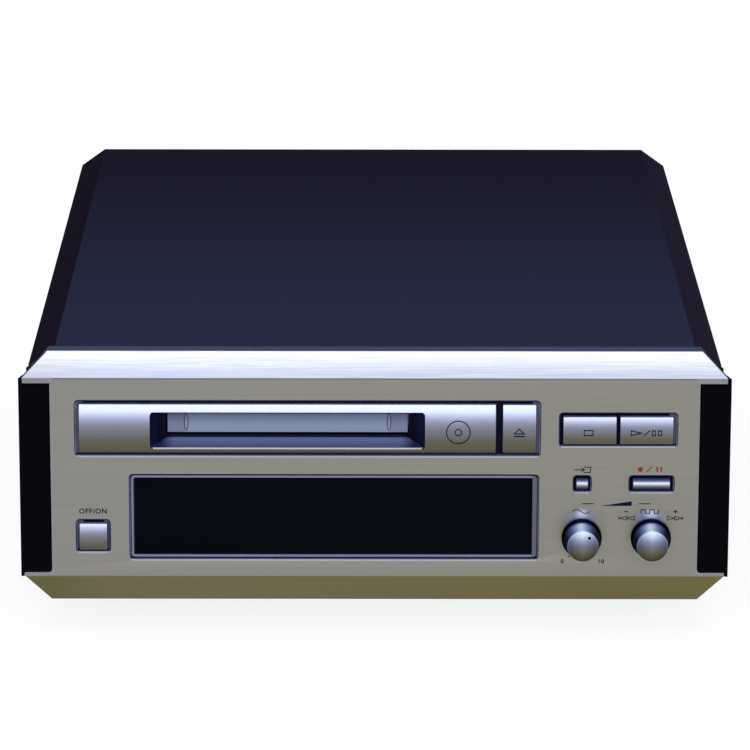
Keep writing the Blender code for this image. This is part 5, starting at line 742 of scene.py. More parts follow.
def brushed_aluminium():
    """Anodised aluminium with long brush lines, painted light by the way its faces look, and painted light and
    shade by place.
    """
    finish, tree, shader, place = new_finish("brushed_aluminium", 0.36, specular=0.0)
    here = place["Object"]
    lines = grain_of(tree, place, 0.16 * MM, (260.0, 1.0, 1.0))
    bands = grain_of(tree, place, 0.9 * MM, (90.0, 1.0, 1.0))
    streaks = grain_of(tree, place, 0.4 * MM, (60.0, 1.0, 1.0))
    tilt = tilt_of(tree)
    slope_foot = PANEL_HIGH.z - SLOPE_HEIGHT
    fall = share_along(tree, here, (0, 0, -1), -PANEL_HIGH.z, -slope_foot)
    over = share_along(tree, here, (0, 0, 1), slope_foot - 0.1 * SLOPE_HEIGHT, slope_foot)
    under = share_along(tree, here, (0, 0, -1), -FACE_BOTTOM, 0.1 * SLOPE_HEIGHT - FACE_BOTTOM)
    across = share_along(tree, here, (1, 0, 0), PANEL_LOW.x, PANEL_HIGH.x)
    left = share_along(tree, here, (-1, 0, 0), -PANEL_LOW.x - LEFT_TINT_REACH, -PANEL_LOW.x)
    tones = lit_tones_by_facing(tree, PANEL_LIT_TONES, PANEL_LIT_SIDE_TONES)
    # The first of these paints shade down the top slope; the rest lay streaks and tints along the panel.
    for share, darkening in ((product(tree, fall, over), SLOPE_SHADE),
                         (product(tree, over, smooth_step(tree, streaks["Height"], 0.42, 0.62)), SLOPE_STREAK),
                         (across, RIGHT_WARMTH), (product(tree, under, left), LOW_LEFT_TONE),
                         (product(tree, over, left), SLOPE_LEFT_TONE),
                         (product(tree, under, across), LOW_RIGHT_TONE)):
        tones = darkened(tree, share, tones, darkening)
    # Painted shade on the flat face next to each cheek.
    beside = share_along(tree, from_middle(tree, here, 0.0), (1, 0, 0), *CHEEK_SHADE_REACH)
    slant = figured(tree, "ABSOLUTE", figured(tree, "SUBTRACT", tilt["Rise"], 0.5))
    tones = mixed(tree, product(tree, beside, smooth_step(tree, slant, 0.06, 0.03)), tones,
                  shade(*CHEEK_SIDE_SHADE))
    # Painted reflection and crescent of light on the panel above each knob.
    for node in ("analog_knob", "digital_knob"):
        low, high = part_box(node)
        for tone, up_by, reach, core in ((KNOB_PAINTED_REFLECTION, KNOB_PAINTED_REFLECTION_RISE, KNOB_PAINTED_REFLECTION_REACH, 0.3),
                                         (KNOB_PAINTED_CRESCENT, KNOB_PAINTED_CRESCENT_RISE, KNOB_PAINTED_CRESCENT_REACH, 0.1)):
            centre = ((low.x + high.x) / 2, FACE_Y, (low.z + high.z) / 2 + up_by)
            apart = add(tree, "ShaderNodeVectorMath", {0: here, 1: centre}, operation="DISTANCE").outputs["Value"]
            tones = mixed(tree, smooth_step(tree, apart, reach, core * reach), tones, shade(*tone))
    for grain, reach, darkening in ((lines, 0.26, LINE_SHADE), (bands, 0.3, BAND_SHADE)):
        tones = darkened(tree, between(tree, grain["Height"], 0.0, reach), tones, darkening)
    crest = share_along(tree, here, (0, 0, 1), PANEL_HIGH.z - 0.45 * MM, PANEL_HIGH.z - 0.15 * MM)
    sloped = share_along(tree, here, (0, 0, 1), slope_foot - 0.6 * MM, slope_foot)
    capped = figured(tree, "MAXIMUM", crest, product(tree, tilt["Side"], sloped))
    tree.links.new(mixed(tree, capped, tones, shade(*CREST_TONE)), shader["Base Color"])
    walls = figured(tree, "MAXIMUM", smooth_step(tree, tilt["Turn"], 0.88, 0.97),
                    smooth_step(tree, tilt["Rise"], 0.95, 0.99))
    tree.links.new(figured(tree, "SUBTRACT", 1.0, figured(tree, "MAXIMUM", capped, walls)), shader["Metallic"])
    tree.links.new(between(tree, lines["Height"], 0.3, 0.44), shader["Roughness"])
    relief(tree, shader, lines["Height"], 0.004 * MM)
    return finish


def cleaned(mesh, flat_angle):
    """Working copy of a mesh with doubled points merged and flat joints dissolved."""
    bm = bmesh.new()
    bm.from_mesh(mesh)
    bmesh.ops.remove_doubles(bm, verts=bm.verts, dist=0.003 * MM)
    bmesh.ops.dissolve_limit(bm, angle_limit=math.radians(flat_angle), verts=bm.verts, edges=bm.edges)
    return bm


def bevelled(piece, width, segments, sharp):
    """Round off a piece's sharp edges."""
    bevel = piece.modifiers.new("edges", "BEVEL")
    bevel.width = width
    bevel.segments = segments
    bevel.limit_method = "ANGLE"
    bevel.angle_limit = math.radians(sharp)
    bevel.harden_normals = True
    return settle(piece)


def softened(node, width, finish, segments=2, sharp=35):
    """Merged copy of a CAD piece with its edges eased, to stand for it."""
    shell = make_piece(node + "_shell", cleaned(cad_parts[node].data, 1), finish)
    return bevelled(shell, width, segments, sharp)


ALUMINIUM = brushed_aluminium()
panel = softened("front_panel", PANEL_EDGE, ALUMINIUM)
fasten(panel, "deck", "brushed_aluminium", "front_panel")

# Gloss cheeks
# Black mouldings that close the ends of the flat face, polished to a gloss and clipped in from behind.
# Their shoulders reach behind the panel's mitred ends.
CHEEK_BLACK = (9, 9, 15)
CHEEK_WIPED = (5, 5, 10)


def gloss_black():
    """Polished black plastic with faint wipe marks."""
    finish, tree, shader, place = new_finish("gloss_black", 0.07, specular=0.008)
    grain = grain_of(tree, place, 1.5 * MM, (1.0, 1.0, 6.0))
    tree.links.new(mixed(tree, grain["Tone"], shade(*CHEEK_WIPED), shade(*CHEEK_BLACK)), shader["Base Color"])
    tree.links.new(between(tree, grain["Tone"], 0.05, 0.14), shader["Roughness"])
    return finish


GLOSS = gloss_black()
for name in ("left_cheek", "right_cheek"):
    cheek = softened(name, 0.25 * MM, GLOSS, segments=3)
    fasten(cheek, "deck", "gloss_black", name)

# Loader bezel
# Silver moulding with a gently bowed front and a flared mouth for the disc, and a short tunnel behind
# that carries the flap. It is painted in the same satin silver as the keys.
# Silver tones with painted light by facing: bright top edges, olive bottom edges.
SILVER_LIT_TONES = ((-1.0, (90, 90, 112)), (-0.6, (96, 94, 92)), (-0.42, (92, 88, 80)), (-0.28, (92, 87, 75)),
                (-0.22, (94, 90, 76)), (-0.14, (98, 97, 88)), (-0.04, (112, 114, 119)), (0.05, (126, 130, 149)),
                (0.14, (153, 159, 185)), (0.21, (168, 176, 198)), (0.26, (166, 174, 192)),
                (0.32, (162, 170, 188)), (0.45, (120, 124, 160)), (0.7, (100, 104, 150)), (1.0, (170, 178, 242)))
SILVER_LIT_SIDE_TONES = ((0.0, (70, 74, 112)), (0.75, (72, 76, 108)), (1.0, (64, 66, 92)))
# Mouth tones with painted light and shade by facing: a lit blue floor and dark blue walls.
MOUTH_LIT_TONES = ((-1.0, (14, 14, 30)), (-0.4, (48, 50, 66)), (0.0, (34, 36, 74)), (0.5, (70, 80, 124)),
               (0.8, (116, 132, 186)), (0.95, (116, 132, 180)))
MOUTH_LIT_SIDE_TONES = ((0.6, (44, 47, 94)), (1.0, (26, 28, 60)))
FLAKE_SHADE = (150, 154, 176)
# Painted highlight on the mouth's lower lip, and painted shadow and shade on its walls and floor.
MOUTH_LIP_HIGHLIGHT = (190, 192, 212)
MOUTH_SHADOW = (115, 134, 142)
MOUTH_END_SHADOW = (104, 104, 150)
MOUTH_NEAR_SHADE = (186, 172, 178)
MOUTH_FAR_SHADE = (120, 122, 150)
MOUTH_SHADOW_DEPTHS = (2.2 * MM, 3.8 * MM)
MOUTH_NEAR_DEPTHS = (5.0 * MM, 1.2 * MM)
MOUTH_FAR_DEPTHS = (4.5 * MM, 5.9 * MM)
MOUTH_LIP_HIGHLIGHT_DEPTHS = (1.45 * MM, 1.3 * MM)
BOW_STEPS = 40
KEY_EDGE = 0.28 * MM
KEY_CROWN = 0.1 * MM
TALL_SAG = 1.2 * MM
BEZEL_BACK = 3.0 * MM
MOUTH_UP = 46.14 * MM
MOUTH_WIDTH = 83.3 * MM
MOUTH_HEIGHT = 10.88 * MM
MOUTH_RADIUS = 0.7 * MM
MOUTH_BREAK = 0.42 * MM
THROAT_FRONT = 5.0 * MM
THROAT_FLOOR = 42.9 * MM
THROAT_TOP = 53.3 * MM
BOSS_WIDTH = 84.0 * MM
BOSS_BACK = 9.6 * MM
BOSS_FLOOR = 39.6 * MM
BOSS_TOP = 54.2 * MM


def satin_silver(name, tones, sides, roughness=0.3, metallic=0.85, top_metallic=0.3, specular=0.5, painted_by_place=None):
    """Silver paint with a very fine flake, painted light by the way its faces look, and painted light and shade by
    place.
    """
    finish, tree, shader, place = new_finish(name, roughness, specular=specular)
    flake = grain_of(tree, place, 0.09 * MM)
    tones = lit_tones_by_facing(tree, tones, sides)
    rise = tilt_of(tree)["Rise"]
    level = add(tree, "ShaderNodeMapRange", {"Value": rise, "From Min": 0.86, "From Max": 0.9,
                                             "To Min": metallic, "To Max": top_metallic}).outputs[0]
    # Painted light and shade by place; the share it gives back makes the shaded parts less metallic.
    if painted_by_place:
        tones, shaded_share = painted_by_place(tree, place, tones)
        level = product(tree, level, figured(tree, "SUBTRACT", 1.0, shaded_share))
    tree.links.new(level, shader["Metallic"])
    tree.links.new(darkened(tree, between(tree, flake["Height"], 0.0, 0.14), tones, FLAKE_SHADE),
                   shader["Base Color"])
    tree.links.new(between(tree, flake["Tone"], roughness - 0.03, roughness + 0.05), shader["Roughness"])
    relief(tree, shader, flake["Height"], 0.002 * MM)
    return finish


def at(depth):
    """Y of a place this far behind the panel's flat face."""
    return FACE_Y + depth


def up(height):
    """Z of a place this far above the lower edge of the flat face."""
    return FACE_BOTTOM + height


def by_depth(tree, place, depths):
    """How far a place lies between two depths behind the flat face, from 0 to 1."""
    return share_along(tree, place, (0, 1, 0), *map(at, depths))


def bow_radius(z_range, sag):
    """Radius of the arc of a bowed front."""
    half = (z_range[1] - z_range[0]) / 2
    return (half * half + sag * sag) / (2 * sag)


def bow_depth(z, z_range, crown, sag):
    """Depth of a bowed front at a height: an arc from its lower edge to its upper edge."""
    radius = bow_radius(z_range, sag)
    offset = z - (z_range[0] + z_range[1]) / 2
    return crown + radius - math.sqrt(radius * radius - offset * offset)


def skin(bm, near, far):
    """Faces all round between two matching loops."""
    for i in range(len(near)):
        j = (i + 1) % len(near)
        bm.faces.new((near[i], near[j], far[j], far[i]))


def extruded(name, outline, axis, start, end, finish):
    """Extrude an outline along the X or the Y axis."""
    bm = bmesh.new()
    reach = {"X": lambda u, v, level: (level, u, v), "Y": lambda u, v, level: (u, level, v)}[axis]
    near = [bm.verts.new(reach(u, v, start)) for u, v in outline]
    far = [bm.verts.new(reach(u, v, end)) for u, v in outline]
    bm.faces.new(near)
    bm.faces.new(far)
    skin(bm, near, far)
    return make_piece(name, bm, finish)


def bowed(name, x_range, z_range, crown, sag, back, finish):
    """Slab with a bowed front."""
    outline = []
    for step in range(BOW_STEPS + 1):
        z = z_range[0] + (z_range[1] - z_range[0]) * step / BOW_STEPS
        outline.append((at(bow_depth(z, z_range, crown, sag)), z))
    outline += [(at(back), z_range[1]), (at(back), z_range[0])]
    return extruded(name, outline, "X", *x_range, finish)


def rounded(x_range, z_range, radius, steps=6):
    """Rounded rectangle in the X-Z plane."""
    (left, right), (low, high) = x_range, z_range
    corners = ((right - radius, high - radius, 0), (left + radius, high - radius, 90),
               (left + radius, low + radius, 180), (right - radius, low + radius, 270))
    outline = []
    for x, z, start in corners:
        outline += arc((x, z), radius, start, start + 90, steps)
    return outline


def lofted(name, rings, finish):
    """Skin a row of matching rings and close both ends."""
    bm = bmesh.new()
    loops = [[bm.verts.new(point) for point in ring] for ring in rings]
    for near, far in zip(loops, loops[1:]):
        skin(bm, near, far)
    bm.faces.new(loops[0])
    bm.faces.new(loops[-1])
    return make_piece(name, bm, finish)


def smoothed(piece, sharp=28):
    """Smooth a piece between its sharp edges, with each corner led by the larger faces round it."""
    piece.data.shade_smooth()
    piece.data.set_sharp_from_angle(angle=math.radians(sharp))
    leading = piece.modifiers.new("leading", "WEIGHTED_NORMAL")
    leading.keep_sharp = True
    return settle(piece)


def combine(piece, operation, tools):
    """Cut tools out of a piece or join them to it, and drop the tools."""
    for tool in tools:
        modifier = piece.modifiers.new(tool.name, "BOOLEAN")
        modifier.operation = operation
        modifier.solver = "EXACT"
        modifier.material_mode = "TRANSFER"
        modifier.object = tool
    settle(piece)
    for tool in tools:
        bpy.data.objects.remove(tool, do_unlink=True)
    return smoothed(piece)


def eased(piece, width, segments=3, sharp=35):
    """Break a piece's sharp edges with small rounds."""
    bm = cleaned(piece.data, 0.2)
    bm.to_mesh(piece.data)
    bm.free()
    piece.data.shade_smooth()
    return bevelled(piece, width, segments, sharp)


def trued(piece, z_range, crown, sag):
    """Give a bowed front that was cut or joined the smooth normals of its arc again."""
    radius = bow_radius(z_range, sag)
    mesh = piece.data
    normals = [Vector(corner.vector) for corner in mesh.corner_normals]
    for polygon in mesh.polygons:
        for loop in polygon.loop_indices:
            spot = mesh.vertices[mesh.loops[loop].vertex_index].co
            rise = (spot.z - (z_range[0] + z_range[1]) / 2) / radius
            arched = Vector((0, -math.sqrt(max(0.0, 1 - rise * rise)), rise))
            off = abs(spot.y - at(bow_depth(spot.z, z_range, crown, sag)))
            if off < 0.01 * MM and polygon.normal.dot(arched) > 0.998:
                normals[loop] = arched
    mesh.normals_split_custom_set(normals)
    return piece


def mouth_shades(tree, place, tones):
    """Painted shade on the mouth's walls inwards and on its floor's ends and depths, and a painted highlight on
    its lower lip.
    """
    here = place["Object"]
    tilt = tilt_of(tree)
    walls = product(tree, by_depth(tree, here, MOUTH_SHADOW_DEPTHS), tilt["Side"])
    ends = share_along(tree, from_middle(tree, here, SLOT_X), (1, 0, 0), throat_half - 3.0 * MM,
                       throat_half + 2.0 * MM)
    level = smooth_step(tree, tilt["Rise"], 0.9, 0.94)
    near = product(tree, level, by_depth(tree, here, MOUTH_NEAR_DEPTHS))
    far = product(tree, level, by_depth(tree, here, MOUTH_FAR_DEPTHS))
    for share, darkening in ((walls, MOUTH_SHADOW), (ends, MOUTH_END_SHADOW), (near, MOUTH_NEAR_SHADE),
                         (far, MOUTH_FAR_SHADE)):
        tones = darkened(tree, share, tones, darkening)
    window = product(tree, smooth_step(tree, tilt["Rise"], 0.7, 0.78),
                     smooth_step(tree, tilt["Rise"], 0.91, 0.87))
    lip = product(tree, window, by_depth(tree, here, MOUTH_LIP_HIGHLIGHT_DEPTHS))
    return mixed(tree, lip, tones, shade(*MOUTH_LIP_HIGHLIGHT)), 0.0


SILVER = satin_silver("satin_silver", SILVER_LIT_TONES, SILVER_LIT_SIDE_TONES)
bezel_low, bezel_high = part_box("loader_bezel")
LOADER_Z = (bezel_low.z, bezel_high.z)
SLOT_X = (bezel_low.x + bezel_high.x) / 2
bezel = bowed("loader_bezel_shell", (bezel_low.x, bezel_high.x), LOADER_Z, KEY_CROWN, TALL_SAG, BEZEL_BACK, SILVER)
boss = extruded("boss", rounded((SLOT_X - BOSS_WIDTH / 2, SLOT_X + BOSS_WIDTH / 2), (up(BOSS_FLOOR), up(BOSS_TOP)),
                                0.4 * MM), "Y", at(BEZEL_BACK - 0.5 * MM), at(BOSS_BACK), SILVER)
throat_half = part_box("disc_door")[1].x - SLOT_X - 0.9 * MM
MOUTH_SILVER = satin_silver("mouth_silver", MOUTH_LIT_TONES, MOUTH_LIT_SIDE_TONES, 0.4, metallic=0.15, top_metallic=0.15,
                            specular=0.05, painted_by_place=mouth_shades)
mouth_ring = rounded((SLOT_X - MOUTH_WIDTH / 2, SLOT_X + MOUTH_WIDTH / 2),
                     (up(MOUTH_UP) - MOUTH_HEIGHT / 2, up(MOUTH_UP) + MOUTH_HEIGHT / 2), MOUTH_RADIUS)
throat_ring = rounded((SLOT_X - throat_half, SLOT_X + throat_half), (up(THROAT_FLOOR), up(THROAT_TOP)), 0.3 * MM)
wide_ring = rounded((SLOT_X - MOUTH_WIDTH / 2 - MOUTH_BREAK, SLOT_X + MOUTH_WIDTH / 2 + MOUTH_BREAK),
                    (up(MOUTH_UP) - MOUTH_HEIGHT / 2 - MOUTH_BREAK, up(MOUTH_UP) + MOUTH_HEIGHT / 2 + MOUTH_BREAK),
                    MOUTH_RADIUS + MOUTH_BREAK)
front_ring = [(x, at(bow_depth(z, LOADER_Z, KEY_CROWN, TALL_SAG)), z) for x, z in wide_ring]
inner_ring = [(x, front[1] + 0.8 * MOUTH_BREAK, z) for (x, z), front in zip(mouth_ring, front_ring)]
passage = lofted("passage", [[(x, at(-3.0 * MM), z) for x, y, z in front_ring], front_ring, inner_ring]
                 + [[(x, at(depth), z) for x, z in ring]
                    for ring, depth in ((mouth_ring, TALL_SAG + 0.2 * MM), (throat_ring, THROAT_FRONT),
                                        (throat_ring, BOSS_BACK + 2.0 * MM))], MOUTH_SILVER)
combine(bezel, "UNION", [boss])
eased(bezel, 0.22 * MM)
combine(bezel, "DIFFERENCE", [passage])
trued(bezel, LOADER_Z, KEY_CROWN, TALL_SAG)
fasten(bezel, "deck", "silver_plastic", "loader_bezel")

# Disc door
# The flap that closes the mouth: a thin silver moulding on two pins at its upper corners.
# Two upright oval outlines are moulded into its face.
# Flap tones with painted light by facing.
DOOR_LIT_TONES = ((-1.0, (30, 32, 58)), (-0.3, (70, 74, 100)), (-0.05, (128, 138, 166)), (0.05, (130, 141, 170)),
              (0.3, (190, 198, 224)), (1.0, (60, 66, 104)))
DOOR_LIT_SIDE_TONES = ((0.0, (40, 42, 76)), (1.0, (30, 32, 60)))
DOOR_FRONT = 5.9 * MM
DOOR_THICKNESS = 1.2 * MM
DOOR_BOTTOM = 44.3 * MM
HINGE_UP = 52.0 * MM
DOOR_HALF = 36.85 * MM
PIN_REACH = 1.2 * MM
OVAL_OFFSET = 31.1 * MM
OVAL_UP = 47.6 * MM
OVAL_WIDTH = 1.15 * MM
OVAL_HEIGHT = 5.4 * MM
OVAL_LINE = 0.3 * MM
OVAL_DEPTH = 0.4 * MM
# Painted shade along the flap's top, past its ovals and in the ovals' grooves.
DOOR_TOP_SHADE = (184, 184, 188)
DOOR_END_SHADE = (226, 224, 230)
DOOR_TOP_UP = (46.0 * MM, 50.8 * MM)
DOOR_ENDS = (OVAL_OFFSET - 0.2 * MM, OVAL_OFFSET + 0.8 * MM)
OVAL_GROOVE_SHADE = (50, 54, 82)
OVAL_GROOVE_SHADE_DEPTHS = (DOOR_FRONT + 0.06 * MM, DOOR_FRONT + 0.14 * MM)


def oval(x, z, wide, tall, steps=32):
    """Outline of an upright oval."""
    return [(x + wide / 2 * math.cos(math.tau * step / steps), z + tall / 2 * math.sin(math.tau * step / steps))
            for step in range(steps)]


def door_shades(tree, place, tones):
    """Flap in the bezel's shade: painted shade along its top, past its ovals and in the grooves of the ovals."""
    here = place["Object"]
    top = share_along(tree, here, (0, 0, 1), *map(up, DOOR_TOP_UP))
    ends = share_along(tree, from_middle(tree, here, SLOT_X), (1, 0, 0), *DOOR_ENDS)
    groove = by_depth(tree, here, OVAL_GROOVE_SHADE_DEPTHS)
    shaded = darkened(tree, ends, darkened(tree, top, tones, DOOR_TOP_SHADE), DOOR_END_SHADE)
    return mixed(tree, groove, shaded, shade(*OVAL_GROOVE_SHADE)), groove


DOOR_SILVER = satin_silver("door_silver", DOOR_LIT_TONES, DOOR_LIT_SIDE_TONES, roughness=0.34, painted_by_place=door_shades)
hinge_y = at(DOOR_FRONT + DOOR_THICKNESS / 2)
section = [(at(DOOR_FRONT + DOOR_THICKNESS), up(DOOR_BOTTOM)), (at(DOOR_FRONT), up(DOOR_BOTTOM))]
section += arc((hinge_y, up(HINGE_UP)), DOOR_THICKNESS / 2, 180, 0, 12)
door = extruded("disc_door_shell", section, "X", SLOT_X - DOOR_HALF, SLOT_X + DOOR_HALF, DOOR_SILVER)
eased(door, 0.08 * MM, segments=2)
for side in (-1, 1):
    x = SLOT_X + side * OVAL_OFFSET
    groove = extruded("groove", oval(x, up(OVAL_UP), OVAL_WIDTH + OVAL_LINE, OVAL_HEIGHT + OVAL_LINE), "Y",
                      at(DOOR_FRONT - 1.0 * MM), at(DOOR_FRONT + OVAL_DEPTH), DOOR_SILVER)
    island = extruded("island", oval(x, up(OVAL_UP), OVAL_WIDTH - OVAL_LINE, OVAL_HEIGHT - OVAL_LINE), "Y",
                      at(DOOR_FRONT), at(DOOR_FRONT + OVAL_DEPTH + 0.2 * MM), DOOR_SILVER)
    combine(door, "DIFFERENCE", [groove])
    combine(door, "UNION", [island])
    pin_foot = (SLOT_X + side * (DOOR_HALF - 0.5 * MM), hinge_y, up(HINGE_UP))
    pin = turned("door_pin", [(0, 0), (0.5 * MM, 0)] + arc((0.38 * MM, PIN_REACH + 0.38 * MM), 0.12 * MM, 0, 90)
                 + [(0, PIN_REACH + 0.5 * MM)], pin_foot, (side, 0, 0), DOOR_SILVER, steps=16)
    combine(door, "UNION", [pin])
fasten(door, "door", "silver_plastic", "disc_door")

# Push keys
# Six silver caps with bowed fronts, each on a stem that reaches back to its switch.
# The loader and transport keys bow gently, input and record are nearly half round.
KEY_BACK = 2.2 * MM
KEY_STEM = 3.0 * MM
WIDE_SAG = 0.55 * MM
ROUND_SAG = 1.5 * MM
KEYS = (("eject", KEY_CROWN, TALL_SAG), ("stop", KEY_CROWN, WIDE_SAG), ("play", KEY_CROWN, WIDE_SAG),
        ("power", 0.0, WIDE_SAG), ("input", 0.0, ROUND_SAG), ("record", 0.0, ROUND_SAG))
# Tones of the half-round keys with painted light by facing: a lit band near the top.
ROUND_LIT_TONES = ((-1.0, (54, 54, 74)), (-0.69, (58, 58, 72)), (-0.57, (82, 83, 89)), (-0.46, (86, 88, 93)),
               (-0.34, (96, 97, 106)), (-0.23, (110, 111, 121)), (-0.11, (138, 141, 152)), (0.0, (164, 169, 179)),
               (0.11, (186, 192, 202)), (0.23, (192, 200, 212)), (0.34, (176, 184, 206)),
               (0.46, (144, 154, 186)), (0.57, (120, 130, 166)), (0.69, (98, 106, 148)), (1.0, (80, 86, 140)))

ROUND_SILVER = satin_silver("round_key_silver", ROUND_LIT_TONES, SILVER_LIT_SIDE_TONES, metallic=0.35, top_metallic=0.35)
key_surfaces = {}
for name, crown, sag in KEYS:
    low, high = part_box(name + "_button")
    finish = ROUND_SILVER if sag == ROUND_SAG else SILVER
    cap = bowed(name + "_key", (low.x, high.x), (low.z, high.z), crown, sag, KEY_BACK, finish)
    eased(cap, KEY_EDGE)
    middle = (low + high) / 2
    stem = extruded("stem", rounded((middle.x - KEY_STEM / 2, middle.x + KEY_STEM / 2),
                                    (middle.z - KEY_STEM / 2, middle.z + KEY_STEM / 2), 0.3 * MM), "Y",
                    at(KEY_BACK - 0.3 * MM), high.y, finish)
    combine(cap, "UNION", [stem])
    trued(cap, (low.z, high.z), crown, sag)
    fasten(cap, name + "_key", "silver_plastic", name + "_button")
    key_surfaces[name] = ((low.z, high.z), crown, sag)

# Display window
# A smoked acrylic pane in a thin trim frame, both pushed into the panel's window from behind.
# The frame's front edges are broken with a narrow bright chamfer.
# Trim tones with painted light by facing, and painted shade on the right rail.
TRIM_LIT_TONES = ((-1.0, (56, 60, 98)), (-0.5, (96, 98, 130)), (0.0, (124, 122, 150)), (0.5, (150, 156, 190)),
              (1.0, (84, 90, 128)))
TRIM_LIT_SIDE_TONE = (80, 84, 120)
RIGHT_RAIL_SHADE = (88, 92, 108)
PANE_DARK = (6, 7, 13)
PANE_LIGHT = (9, 11, 19)


def smoked_acrylic():
    """Nearly black glossy pane with faint wipe marks."""
    finish, tree, shader, place = new_finish("smoked_acrylic", 0.05, specular=0.008)
    grain = grain_of(tree, place, 2.0 * MM, (5.0, 1.0, 1.0))
    tree.links.new(mixed(tree, grain["Tone"], shade(*PANE_DARK), shade(*PANE_LIGHT)), shader["Base Color"])
    tree.links.new(between(tree, grain["Tone"], 0.03, 0.1), shader["Roughness"])
    return finish


def trim_shades(tree, place, tones):
    """Trim with painted shade on its right rail."""
    right_rail = share_along(tree, place["Object"], (1, 0, 0), TRIM_RIGHT - 1.6 * MM, TRIM_RIGHT - 1.3 * MM)
    return mixed(tree, right_rail, tones, shade(*RIGHT_RAIL_SHADE)), 0.0


TRIM_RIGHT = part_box("display_frame")[1].x
TRIM = satin_silver("display_trim", TRIM_LIT_TONES, ((0.0, TRIM_LIT_SIDE_TONE),), roughness=0.28, metallic=0.6,
                    painted_by_place=trim_shades)
trim = softened("display_frame", 0.2 * MM, TRIM, segments=1, sharp=60)
fasten(trim, "deck", "display_trim", "display_frame")
pane = softened("display_window", 0.1 * MM, smoked_acrylic())
fasten(pane, "deck", "smoked_window", "display_window")

# Level knobs
# Turned aluminium caps with a tapered side and a shallow domed face, pushed onto flatted shafts.
# The left one has a pointer dot drilled in its face, the right one turns without end.
KNOB_REACH = 10.0 * MM
KNOB_EDGE_REACH = 9.4 * MM
KNOB_LIFT = 0.5 * MM
KNOB_SKIRT = 1.2 * MM
KNOB_BASE_RADIUS = 6.15 * MM
KNOB_FACE_RADIUS = 4.85 * MM
KNOB_ROUND = 0.22 * MM
KNOB_BORE_RADIUS = 3.3 * MM
KNOB_BORE_DEPTH = 7.5 * MM
POINTER_ANGLE = math.radians(37.0)
POINTER_ORBIT = 3.3 * MM
POINTER_RADIUS = 0.5 * MM
# Knob tones with painted light by facing; the side tones also paint the highlight down the cone.
KNOB_LIT_TONES = ((-1.0, (40, 38, 52)), (-0.6, (52, 50, 52)), (-0.3, (66, 62, 48)), (-0.23, (74, 70, 55)),
              (-0.16, (96, 91, 77)), (-0.08, (112, 109, 103)), (-0.01, (118, 121, 129)), (0.04, (132, 137, 158)),
              (0.095, (148, 157, 185)), (0.145, (176, 188, 214)), (0.21, (200, 216, 234)), (0.27, (196, 212, 232)),
              (0.33, (122, 136, 166)), (0.6, (110, 122, 158)), (0.9, (216, 232, 255)))
KNOB_LIT_SIDE_TONES = ((0.0, (222, 238, 255)), (0.1, (212, 228, 255)), (0.22, (180, 198, 244)), (0.31, (150, 166, 218)),
              (0.4, (131, 146, 200)), (0.5, (106, 118, 168)), (0.65, (78, 88, 130)), (0.85, (40, 44, 58)),
              (1.0, (28, 32, 42)))
# Painted light: the face highlight falling off to its sides, the cone highlight set a little aside, and painted
# root shade.
KNOB_FACE_RISE = (0.76, 0.68)
KNOB_HIGHLIGHT_ASIDE = 0.09
KNOB_HIGHLIGHT_FALLOFF = ((0.0, (255, 255, 255)), (0.1, (224, 226, 230)), (0.2, (182, 186, 194)), (0.3, (176, 180, 192)),
             (0.45, (255, 255, 255)))
KNOB_TINT = (120, 130, 160)
INK_COLOUR = (22, 22, 46)
KNOB_ROOT_SHADE = (16, 20, 56)
KNOB_ROOT_DEPTHS = (-5.3 * MM, -3.2 * MM)


def knob_profile():
    """Half section of a knob: skirt, tapered side, small round and shallow dome, with its bore."""
    profile = [(KNOB_BORE_RADIUS, KNOB_LIFT), (KNOB_BASE_RADIUS - 0.15 * MM, KNOB_LIFT)]
    profile += arc((KNOB_BASE_RADIUS - 0.15 * MM, KNOB_LIFT + 0.15 * MM), 0.15 * MM, 270, 360, 3)
    profile += [(KNOB_BASE_RADIUS, KNOB_LIFT + KNOB_SKIRT)]
    profile += arc((KNOB_FACE_RADIUS - KNOB_ROUND, KNOB_EDGE_REACH - KNOB_ROUND), KNOB_ROUND, 8, 84)
    rim = profile[-1]
    for step in range(1, 17):
        share = step / 16
        profile.append((rim[0] * (1 - share), rim[1] + (KNOB_REACH - rim[1]) * (1 - (1 - share) ** 2)))
    profile += [(0, KNOB_LIFT + KNOB_BORE_DEPTH), (KNOB_BORE_RADIUS, KNOB_LIFT + KNOB_BORE_DEPTH)]
    return profile


def knob_shades(tree, place, tones):
    """Painted light on a knob: a face highlight falling off to its sides, a highlight down the cone, and painted
    shade at the root.
    """
    tilt = tilt_of(tree)
    face = smooth_step(tree, tilt["Rise"], *KNOB_FACE_RISE)
    fallen = mixed(tree, face, tones, ramp(tree, tilt["Turn"], KNOB_HIGHLIGHT_FALLOFF), "MULTIPLY")
    looks = add(tree, "ShaderNodeSeparateXYZ", {0: add(tree, "ShaderNodeNewGeometry").outputs["Normal"]}).outputs
    shine = figured(tree, "ABSOLUTE", figured(tree, "ADD", looks["X"], KNOB_HIGHLIGHT_ASIDE))
    coned = mixed(tree, face, ramp(tree, shine, KNOB_LIT_SIDE_TONES), fallen)
    root = by_depth(tree, place["Object"], KNOB_ROOT_DEPTHS)
    return darkened(tree, root, coned, KNOB_ROOT_SHADE), root


